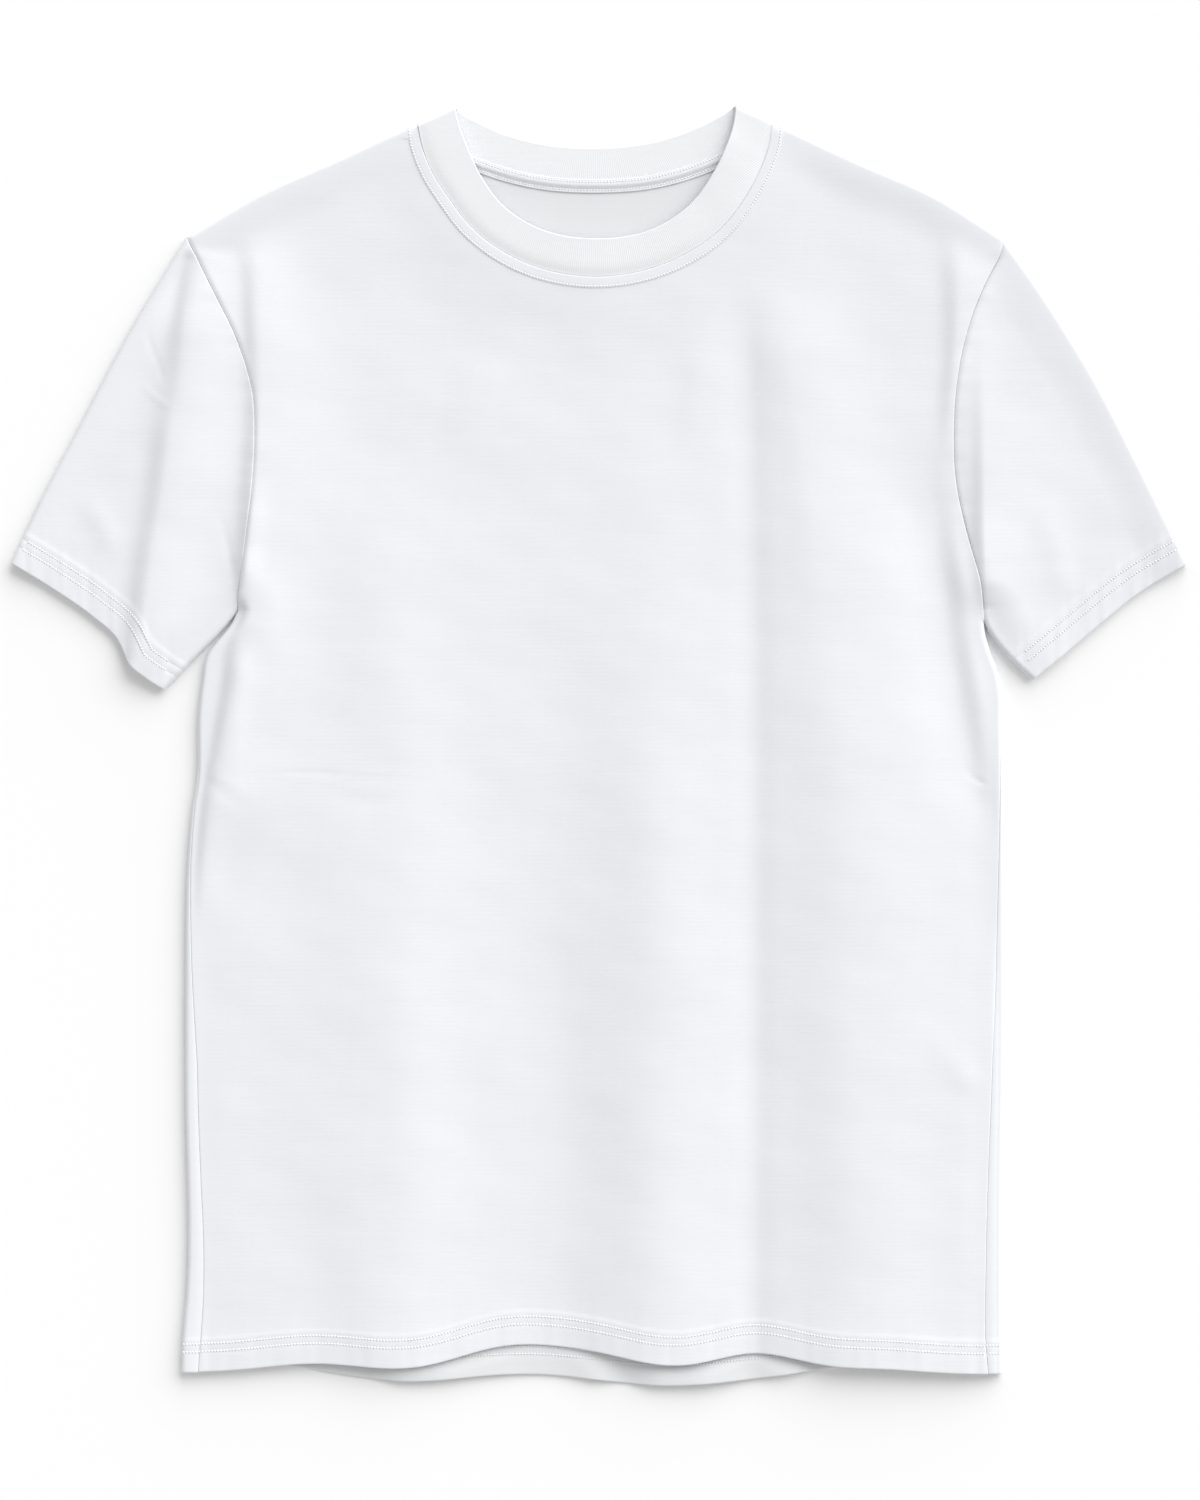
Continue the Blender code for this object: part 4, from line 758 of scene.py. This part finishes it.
# ---- sleeves ----
def sleeve(name, side, underarm, top_edge, cuff, over_place, under_place):
    """A tube laid flat: its upper layer from underarm to upper edge, and back underneath."""
    underarm, top_edge, cuff = Line(underarm), Line(top_edge), Line(cuff)
    length = side.armhole.length
    count = round((length - 2 * SLEEVE_AT_EDGE[-1]) / SLEEVE_PITCH)
    between = np.linspace(SLEEVE_AT_EDGE[-1], length - SLEEVE_AT_EDGE[-1], count + 1)[1:-1]
    run = np.concatenate([SLEEVE_AT_EDGE, between, length - np.array(SLEEVE_AT_EDGE)[::-1]])
    start = side.armhole.at(run)
    start[:, 0] += side.sign * SEAM_GAP / 2
    on_cuff = stretch(run, length, cuff.length)
    end = cuff.at(on_cuff)
    across_start = (run - run[0]) / (run[-1] - run[0])
    across_end = (on_cuff - on_cuff[0]) / (on_cuff[-1] - on_cuff[0])
    reach = np.linalg.norm(end - start, axis=1)

    rows = [distance / reach for distance in SLEEVE_SEAM_ROWS]
    first, last = rows[-1], 1.0 - CUFF_ROWS[0] / reach
    rows += [first + (last - first) * k / SLEEVE_ROWS for k in range(1, SLEEVE_ROWS)]
    rows += [1.0 - distance / reach for distance in CUFF_ROWS]
    along = np.array(rows)[..., None]
    across = (across_start * (1.0 - along[..., 0]) + across_end * along[..., 0])[..., None]
    straight = start * (1.0 - along) + end * along

    def edge_offset(line, inward, k):
        """How far the folded edge leaves the straight line between its ends."""
        distance = along[:, k, 0] * line.length
        edge = line.at(distance) + JERSEY / 2 * inward * line.right_hand(distance)
        bow = edge - straight[:, k]
        ends = bow[0] * (1.0 - along[:, k]) + bow[-1] * along[:, k]
        return (bow - ends)[:, None]

    sheet = (straight + edge_offset(underarm, -side.sign, 0) * (1.0 - across)
             + edge_offset(top_edge, side.sign, -1) * across)
    x, y = sheet[..., 0], sheet[..., 1]
    from_cuff = (1.0 - along[..., 0]) * reach
    wall = cloth_wall(from_cuff)
    ripple = puckers(x, y, from_cuff)
    over = upper(x, y, over_place) + ripple
    under = lower(x, y, under_place, over_place)
    over[:, [0, -1]] = FOLD_CENTRE
    ring = [np.concatenate([top, bottom[:, -2:0:-1]], axis=1) for top, bottom in (
        (x, x), (y, y), (over, under), (wall, wall), (from_cuff, from_cuff))]
    x, y, z, wall, from_cuff = ring
    points = np.stack([x, y, z + (wall - JERSEY) / 2], axis=-1)
    return shell(name, points, wall, taken=groove(from_cuff, CUFF_STITCHES), closed=True, inside=side.sign)


# ---- neckband and tape ----
def band_points(seam, edge, along, raised):
    """Half of the neckband, in columns from the right shoulder's fold to the left one's."""
    sewn = seam.at(along) - SEAM_GAP / 2 * seam.right_hand(along)
    free = edge.at(stretch(along, seam.length, edge.length))
    part = (np.array(RIB_ROWS) / RIB_ROWS[-1])[:, None, None]
    points = sewn * (1.0 - part) + free * part
    x, y = points[..., 0], points[..., 1]
    inside = inside_edge(x, y, RIB_WALL)
    turn = rounding(inside)
    if raised:
        clear = smooth(inside / SETTLE_REACH)
        level = upper(sewn[:, 0], sewn[:, 1], "front") - FOLD_CENTRE - FOLD_RADIUS
        lift = RIB_LIFT * bell((along / seam.length - RIB_LIFT_AT[0]) / RIB_LIFT_AT[1])
        sink = RIB_SINK * (1.0 - smooth(np.array(RIB_ROWS) / RIB_SLOPE))[:, None]
        z = FOLD_CENTRE + turn + clear * (level - sink + (RIB_RISE + lift) * part[..., 0])
    else:
        z = FOLD_CENTRE - turn
    return np.stack([x, y, z + (RIB_WALL - JERSEY) / 2 - (RIB_BED * clear if raised else 0.0)], axis=-1)


def neckband():
    """A ring of rib knit: its ribs run across it, and its free edge is a fold."""
    halves = []
    phases = []
    for seam, edge, raised in ((FRONT_NECK, FRONT_EDGE, True), (BACK_NECK, BACK_EDGE, False)):
        ribs = round((seam.length - RIB_WALL) / RIB_PITCH)
        along = np.linspace(RIB_WALL / 2, seam.length - RIB_WALL / 2, ribs * RIB_STEPS + 1)
        halves.append(band_points(seam, edge, along, raised))
        phases.append(np.arange(len(along)) / RIB_STEPS)
    front, back = halves
    front[:, [0, -1], 2] = FOLD_CENTRE + (RIB_WALL - JERSEY) / 2
    points = np.hstack([front, back[:, -2:0:-1]])
    phase = np.concatenate([phases[0], phases[1][-2:0:-1]])
    distance = np.array(RIB_ROWS)
    sewn = smooth(distance / RIB_SEWN_REACH)
    wall = RIB_SEWN + (RIB_WALL - RIB_SEWN) * sewn
    to_edge = np.clip((RIB_ROWS[-1] - distance) / RIB_ROUND, 0.0, 1.0)
    wall = wall * np.maximum(np.sqrt(1.0 - (1.0 - to_edge) ** 2), RIB_LEAST)
    shown = smooth(distance / RIB_SHOWN[0]) * smooth((RIB_ROWS[-1] - distance) / RIB_SHOWN[1])
    taken = RIB_DEPTH * shown[:, None] * (1.0 + np.cos(2.0 * np.pi * phase))[None]
    wall = np.repeat(wall[:, None], points.shape[1], axis=1)
    return shell("rib_collar", points, wall, taken=taken, closed=True, rim=False)


def neck_tape():
    """Lies inside the back neck, half on the neckband's edge and half on the back panel."""
    along = np.linspace(TAPE_END, BACK_NECK.length - TAPE_END, TAPE_SPANS + 1)
    middle = BACK_NECK.at(along)
    outward = BACK_NECK.right_hand(along)
    on_rib = RIB_WALL + TAPE_OVER_RIB + TAPE_WALL / 2
    on_panel = JERSEY + TAPE_OVER_PANEL + TAPE_WALL / 2
    rows = []
    for across in TAPE_ROWS:
        height = on_rib + (on_panel - on_rib) * smooth((across - TAPE_STEP[0]) / TAPE_STEP[1])
        place = middle + across * outward
        rows.append(np.column_stack([place, np.full(len(place), height)]))
    points = np.array(rows)
    points[..., 2] += TAPE_UNEVEN * waves(points[..., 0], points[..., 1], PUCKERS)
    across = np.repeat(np.array(TAPE_ROWS)[:, None], points.shape[1], axis=1)
    wall = np.full(points.shape[:2], TAPE_WALL)
    return shell("collar_tape", points, wall, taken=groove(across, TAPE_STITCHES))


# ---- meshes ----
def across_sheet(points, axis, closed):
    """Direction of the sheet's lines along one axis, at each point."""
    if closed:
        ahead = np.roll(points, -1, axis=axis) - points
        behind = np.roll(ahead, 1, axis=axis)
    else:
        step = np.diff(points, axis=axis)
        first = np.take(step, [0], axis=axis)
        last = np.take(step, [-1], axis=axis)
        ahead = np.concatenate([step, last], axis=axis)
        behind = np.concatenate([first, step], axis=axis)
    ahead = ahead / np.maximum(np.linalg.norm(ahead, axis=-1, keepdims=True), TINY)
    behind = behind / np.maximum(np.linalg.norm(behind, axis=-1, keepdims=True), TINY)
    return ahead + behind


def shell(name, points, wall, taken=0.0, closed=False, rim=True, inside=0):
    """A closed mesh: the sheet of points (rows, columns, xyz) with its wall half on each side.

    inside tells which side of the sheet, 1 or -1, is the garment's inside and has its second material: for
    jersey, a darker copy with painted shade.
    """
    normal = np.cross(across_sheet(points, 1, closed), across_sheet(points, 0, False))
    normal = normal / np.maximum(np.linalg.norm(normal, axis=-1, keepdims=True), TINY)
    half = wall / 2 - taken
    if rim:
        for line, part in enumerate(RIM):
            half[line] *= part
            half[-1 - line] *= part
            if not closed:
                half[:, line] *= part
                half[:, -1 - line] *= part
    outer = points + normal * half[..., None]
    inner = points - normal * half[..., None]
    rows, columns = points.shape[:2]
    index = np.arange(rows * columns).reshape(rows, columns)
    if closed:
        index = np.concatenate([index, index[:, :1]], axis=1)
    below = index + rows * columns

    def quads(a, b, c, d):
        return np.stack([a, b, c, d], axis=-1).reshape(-1, 4)

    faces = [quads(index[:-1, :-1], index[:-1, 1:], index[1:, 1:], index[1:, :-1]),
             quads(below[:-1, :-1], below[1:, :-1], below[1:, 1:], below[:-1, 1:]),
             quads(index[0, 1:], index[0, :-1], below[0, :-1], below[0, 1:]),
             quads(index[-1, :-1], index[-1, 1:], below[-1, 1:], below[-1, :-1])]
    if not closed:
        faces.append(quads(index[:-1, 0], index[1:, 0], below[1:, 0], below[:-1, 0]))
        faces.append(quads(index[1:, -1], index[:-1, -1], below[:-1, -1], below[1:, -1]))
    faces = np.concatenate(faces)
    vertices = np.concatenate([outer.reshape(-1, 3), inner.reshape(-1, 3)])
    corners = vertices[faces]
    across = np.cross(corners[:, 2] - corners[:, 0], corners[:, 3] - corners[:, 1])
    if np.sum(across * corners.mean(axis=1)) < 0:
        faces = faces[:, ::-1]
    piece = mesh_object(name, vertices, faces.tolist())
    if inside:
        one_side = (rows - 1) * (index.shape[1] - 1)
        first = 0 if inside > 0 else one_side
        lining = np.zeros(len(faces), dtype=np.int32)
        lining[first:first + one_side] = 1
        piece.data.polygons.foreach_set("material_index", lining)
    return piece


def mesh_object(name, vertices, faces):
    """An object of this name, from vertices in millimetres."""
    mesh = bpy.data.meshes.new(name)
    mesh.from_pydata((vertices * MM).tolist(), [], faces)
    mesh.update()
    mesh.shade_smooth()
    piece = bpy.data.objects.new(name, mesh)
    bpy.context.scene.collection.objects.link(piece)
    return piece


# ---- stitches: short bent threads, each on the cloth that it lies on ----
def height_on(tree, place):
    """Height in mm of the surface at a place, seen from above."""
    hit = tree.ray_cast(Vector((place[0] * MM, place[1] * MM, LOOK_FROM)), Vector((0.0, 0.0, -1.0)))[0]
    return None if hit is None else hit.z / MM


def stitch_points(kind, start, middle, end):
    """Points of one stitch, lying on these places of the cloth."""
    forward = (end - start) / np.linalg.norm(end - start)
    sideways = np.cross(forward, (0.0, 0.0, 1.0))
    sideways = sideways / np.linalg.norm(sideways)
    up = np.cross(sideways, forward)
    points = []
    for place, size, rise in STITCH_RINGS:
        centre = middle + forward * place * kind.length + up * kind.height * (rise * 0.5)
        for angle in np.arange(STITCH_SIDES) * 2.0 * np.pi / STITCH_SIDES:
            points.append(centre + kind.width / 2 * size * (np.cos(angle) * sideways + np.sin(angle) * up))
    return points


def stitch_faces(first):
    """Faces of one stitch whose points are numbered from first on."""
    last = first + (len(STITCH_RINGS) - 1) * STITCH_SIDES
    faces = []
    for ring in range(first, last, STITCH_SIDES):
        for side in range(STITCH_SIDES):
            a = ring + side
            b = ring + (side + 1) % STITCH_SIDES
            faces.append((a, b, b + STITCH_SIDES, a + STITCH_SIDES))
    faces.append(tuple(range(first, first + STITCH_SIDES))[::-1])
    faces.append(tuple(range(last, last + STITCH_SIDES)))
    return faces


def stitch_row(name, kind, runs, surface):
    """Stitches along runs of places (x, y) in mm, on top of a surface."""
    mesh = surface.data
    tree = BVHTree.FromPolygons([v.co for v in mesh.vertices], [p.vertices for p in mesh.polygons])
    points = []
    faces = []
    for run in runs:
        line = Line(run, steps=1)
        for centre in (np.arange(int(line.length / kind.pitch)) + 0.5) * kind.pitch:
            places = line.at(centre + kind.length * np.array([-0.5, 0.0, 0.5]))
            heights = [height_on(tree, place) for place in places]
            if None not in heights:
                faces += stitch_faces(len(points))
                points += stitch_points(kind, *np.column_stack([places, heights]))
    return mesh_object(name, np.array(points), faces)


def beside(line, distance, start, stop):
    """Places this far on the right hand of a line, from start to as much as stop before its end."""
    along = np.linspace(start, line.length - stop, STITCH_RUN)
    return line.at(along) + distance * line.right_hand(along)


def hem_rows(bends):
    """Places of the rows of stitches above a hem."""
    x = np.linspace(SIDE_RIGHT[-1][0] + HEM_STITCH_END, SIDE_LEFT[-1][0] - HEM_STITCH_END, HEM_RUN)
    return [np.column_stack([x, hem_edge(x, bends) + row]) for row in HEM_STITCHES]


def cuff_rows(cuff):
    """Places of the rows of stitches above a cuff, drawn in from its ends."""
    line = Line(cuff)
    inward = 1.0 if line.right_hand(line.length / 2)[1] > 0 else -1.0
    start, more_by = CUFF_STITCH_START
    return [beside(line, inward * row, start + more_by * row, CUFF_STITCH_STOP) for row in CUFF_STITCHES]


# ---- materials ----
def set_inputs(node, values):
    """Give a node's inputs these values."""
    for key, value in values.items():
        node.inputs[key].default_value = value


def add(nodes, kind, inputs=None, **settings):
    """A new node with these settings and input values."""
    node = nodes.new(kind)
    for key, value in settings.items():
        setattr(node, key, value)
    set_inputs(node, inputs or {})
    return node


def surface_material(name, inputs):
    """A material, its nodes, its way to link them, and its surface shader with these input values."""
    material = bpy.data.materials.new(name)
    material.use_nodes = True
    nodes = material.node_tree.nodes
    shader = nodes["Principled BSDF"]
    set_inputs(shader, inputs)
    return material, nodes, material.node_tree.links.new, shader


def add_bump(nodes, link, shader, height, strength, distance):
    """Let a height shape the surface of this shader."""
    bump = add(nodes, "ShaderNodeBump", {"Strength": strength, "Distance": distance})
    link(height, bump.inputs["Height"])
    link(bump.outputs["Normal"], shader.inputs["Normal"])


def knit_material(name, look):
    """Cotton knit: fine loops and uneven yarn as bump, and a slight unevenness of colour."""
    material, nodes, link, shader = surface_material(name, {
        "Roughness": look.roughness, "Specular IOR Level": COTTON_SPECULAR,
        "Sheen Weight": look.sheen, "Sheen Roughness": COTTON_SHEEN_ROUGHNESS})
    place = add(nodes, "ShaderNodeTexCoord").outputs["Object"]

    def noise(kind):
        mapping = add(nodes, "ShaderNodeMapping", {"Scale": kind.scale})
        link(place, mapping.inputs["Vector"])
        texture = add(nodes, "ShaderNodeTexNoise",
                      {"Scale": 1.0, "Detail": kind.detail, "Roughness": kind.roughness})
        link(mapping.outputs["Vector"], texture.inputs["Vector"])
        return texture.outputs["Fac"]

    def math(operation, *values):
        node = add(nodes, "ShaderNodeMath", operation=operation)
        for socket, value in zip(node.inputs, values):
            if isinstance(value, (int, float)):
                socket.default_value = value
            else:
                link(value, socket)
        return node.outputs["Value"]

    def mixed(*shares):
        """Sum of values, each times its share."""
        total, *others = [math("MULTIPLY", value, share) for value, share in shares]
        for other in others:
            total = math("ADD", total, other)
        return total

    slub, cloud, fuzz = noise(SLUB), noise(CLOUD), noise(FUZZ)
    tone = add(nodes, "ShaderNodeMapRange", {"From Min": TONE_RANGE[0], "From Max": TONE_RANGE[1]})
    link(mixed((slub, SLUB_TONE), (cloud, 1.0 - SLUB_TONE)), tone.inputs["Value"])
    darker = [c * (1.0 - look.streaks) for c in look.colour]
    lighter = [min(c * (1.0 + look.streaks), 1.0) for c in look.colour]
    colour = add(nodes, "ShaderNodeMix", {"A": (*darker, 1.0), "B": (*lighter, 1.0)}, data_type="RGBA")
    link(tone.outputs["Result"], colour.inputs["Factor"])
    link(colour.outputs["Result"], shader.inputs["Base Color"])

    split = add(nodes, "ShaderNodeSeparateXYZ")
    link(place, split.inputs["Vector"])
    across, down = [math("SINE", math("MULTIPLY", split.outputs[axis], 2.0 * np.pi / (size * MM)))
                    for axis, size in zip("XY", look.loop)]
    height = mixed((math("ABSOLUTE", across), LOOP_BUMP[0]), (down, LOOP_BUMP[1]), (slub, SLUB_BUMP),
                   (fuzz, FUZZ_BUMP))
    add_bump(nodes, link, shader, height, *KNIT_BUMP)
    return material


def thread_material(name):
    """Sewing thread: its fine grain as bump, and darker places between."""
    material, nodes, link, shader = surface_material(
        name, {"Roughness": THREAD_ROUGHNESS, "Sheen Weight": THREAD_SHEEN})
    texture = add(nodes, "ShaderNodeTexNoise", {"Scale": THREAD_GRAIN})
    link(add(nodes, "ShaderNodeTexCoord").outputs["Object"], texture.inputs["Vector"])
    darker = [c * THREAD_DARKER for c in THREAD_COLOUR]
    colour = add(nodes, "ShaderNodeMix", {"A": (*darker, 1.0), "B": (*THREAD_COLOUR, 1.0)}, data_type="RGBA")
    link(texture.outputs["Fac"], colour.inputs["Factor"])
    link(colour.outputs["Result"], shader.inputs["Base Color"])
    add_bump(nodes, link, shader, texture.outputs["Fac"], *THREAD_BUMP)
    return material


# ---- the garment ----
JERSEY_KNIT, JERSEY_INSIDE_PAINTED_SHADE, RIB_KNIT, TAPE_WEAVE = [knit_material(name, look) for name, look in KNITS.items()]
THREAD = thread_material("white_thread")

front = front_body()
back = back_body()
sleeve_right = sleeve("right_sleeve", RIGHT, UNDERARM_RIGHT, SLEEVE_TOP_RIGHT, CUFF_RIGHT,
                      "sleeve_right", "under_right")
sleeve_left = sleeve("left_sleeve", LEFT, UNDERARM_LEFT, SLEEVE_TOP_LEFT, CUFF_LEFT,
                     "sleeve_left", "under_left")
collar = neckband()
tape = neck_tape()

neck_row = beside(FRONT_NECK, NECK_STITCH, NECK_STITCH_END, NECK_STITCH_END)
tape_rows = [beside(BACK_NECK, row, TAPE_END + TAPE_STITCH_END, TAPE_END + TAPE_STITCH_END)
             for row in TAPE_STITCHES]
STITCHED = {
    "stitches_front_hem": (CHAINSTITCH, hem_rows(FRONT_HEM_BENDS), front),
    "stitches_back_hem": (CHAINSTITCH, hem_rows(BACK_HEM_BENDS), back),
    "stitches_right_cuff": (CHAINSTITCH, cuff_rows(CUFF_RIGHT), sleeve_right),
    "stitches_left_cuff": (CHAINSTITCH, cuff_rows(CUFF_LEFT), sleeve_left),
    "stitches_neckline": (TOPSTITCH, [neck_row], front),
    "stitches_tape": (TOPSTITCH, tape_rows, tape),
}
stitches = {name: stitch_row(name, *row) for name, row in STITCHED.items()}

# piece, the node it stands for, slot, material, flat width and length in metres, flat area,
# what it rests on and what is sewn to it
CLOTH = [
    (front, "front_body", "jersey", JERSEY_KNIT, (0.500, 0.750), 0.325, ["back_panel"],
     ["stitches_front_hem", "stitches_neckline"]),
    (back, "back_body", "jersey", JERSEY_KNIT, (0.520, 0.755), 0.345, ["studio_floor"],
     ["stitches_back_hem"]),
    (sleeve_right, "sleeve_right", "jersey", JERSEY_KNIT, (0.420, 0.215), 0.0450, ["studio_floor"],
     ["stitches_right_cuff"]),
    (sleeve_left, "sleeve_left", "jersey", JERSEY_KNIT, (0.400, 0.220), 0.0420, ["studio_floor"],
     ["stitches_left_cuff"]),
    (collar, "neckband", "rib", RIB_KNIT, (0.545, 0.024), 0.0115, ["studio_floor"], []),
    (tape, "neck_tape", "tape", TAPE_WEAVE, (0.200, 0.010), 0.0016, ["back_panel"], ["stitches_tape"]),
]

# ---- floor, light and camera ----
floor_corners = np.array([(x * FLOOR_HALF, y * FLOOR_HALF, FLOOR_LEVEL)
                          for x, y in ((-1, -1), (1, -1), (1, 1), (-1, 1))])
floor = mesh_object("studio_floor", floor_corners, [(0, 1, 2, 3)])
floor.data.materials.append(surface_material("studio_floor", {
    "Base Color": FLOOR_COLOUR, "Roughness": 1.0, "Specular IOR Level": 0.0})[0])

for piece, node, slot, material, flat, area, on, sewn in CLOTH:
    piece.data.materials.append(material)
    # jersey pieces get a second, darker material on their inside face: painted shade
    if material is JERSEY_KNIT:
        piece.data.materials.append(JERSEY_INSIDE_PAINTED_SHADE)
    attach(piece, "root")
    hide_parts(node)
for name, piece in stitches.items():
    piece.data.materials.append(THREAD)
    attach(piece, "root")
for piece, node, slot, material, flat, area, on, sewn in CLOTH:
    [stitches[name] for name in sewn]
    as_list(on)

scene = bpy.context.scene
scene.view_settings.view_transform = "Standard"
world = bpy.data.worlds.new("studio")
scene.world = world
world.use_nodes = True
set_inputs(world.node_tree.nodes["Background"], {"Color": (1.0, 1.0, 1.0, 1.0), "Strength": DOME})

key_data = bpy.data.lights.new("key_light", "SUN")
key_data.energy = KEY_POWER
key_data.angle = KEY_WIDTH
key = bpy.data.objects.new("key_light", key_data)
key.rotation_euler = Vector(KEY_FROM).to_track_quat("Z", "Y").to_euler()
scene.collection.objects.link(key)

camera_data = bpy.data.cameras.new("camera")
camera_data.sensor_fit = "VERTICAL"
camera_data.sensor_height = SENSOR_HEIGHT
camera_data.lens = SENSOR_HEIGHT * CAMERA_HEIGHT / VIEW_HEIGHT
camera_data.clip_end = CAMERA_REACH
camera = bpy.data.objects.new("camera", camera_data)
camera.location = (*VIEW_CENTRE, CAMERA_HEIGHT)
scene.collection.objects.link(camera)
scene.camera = camera
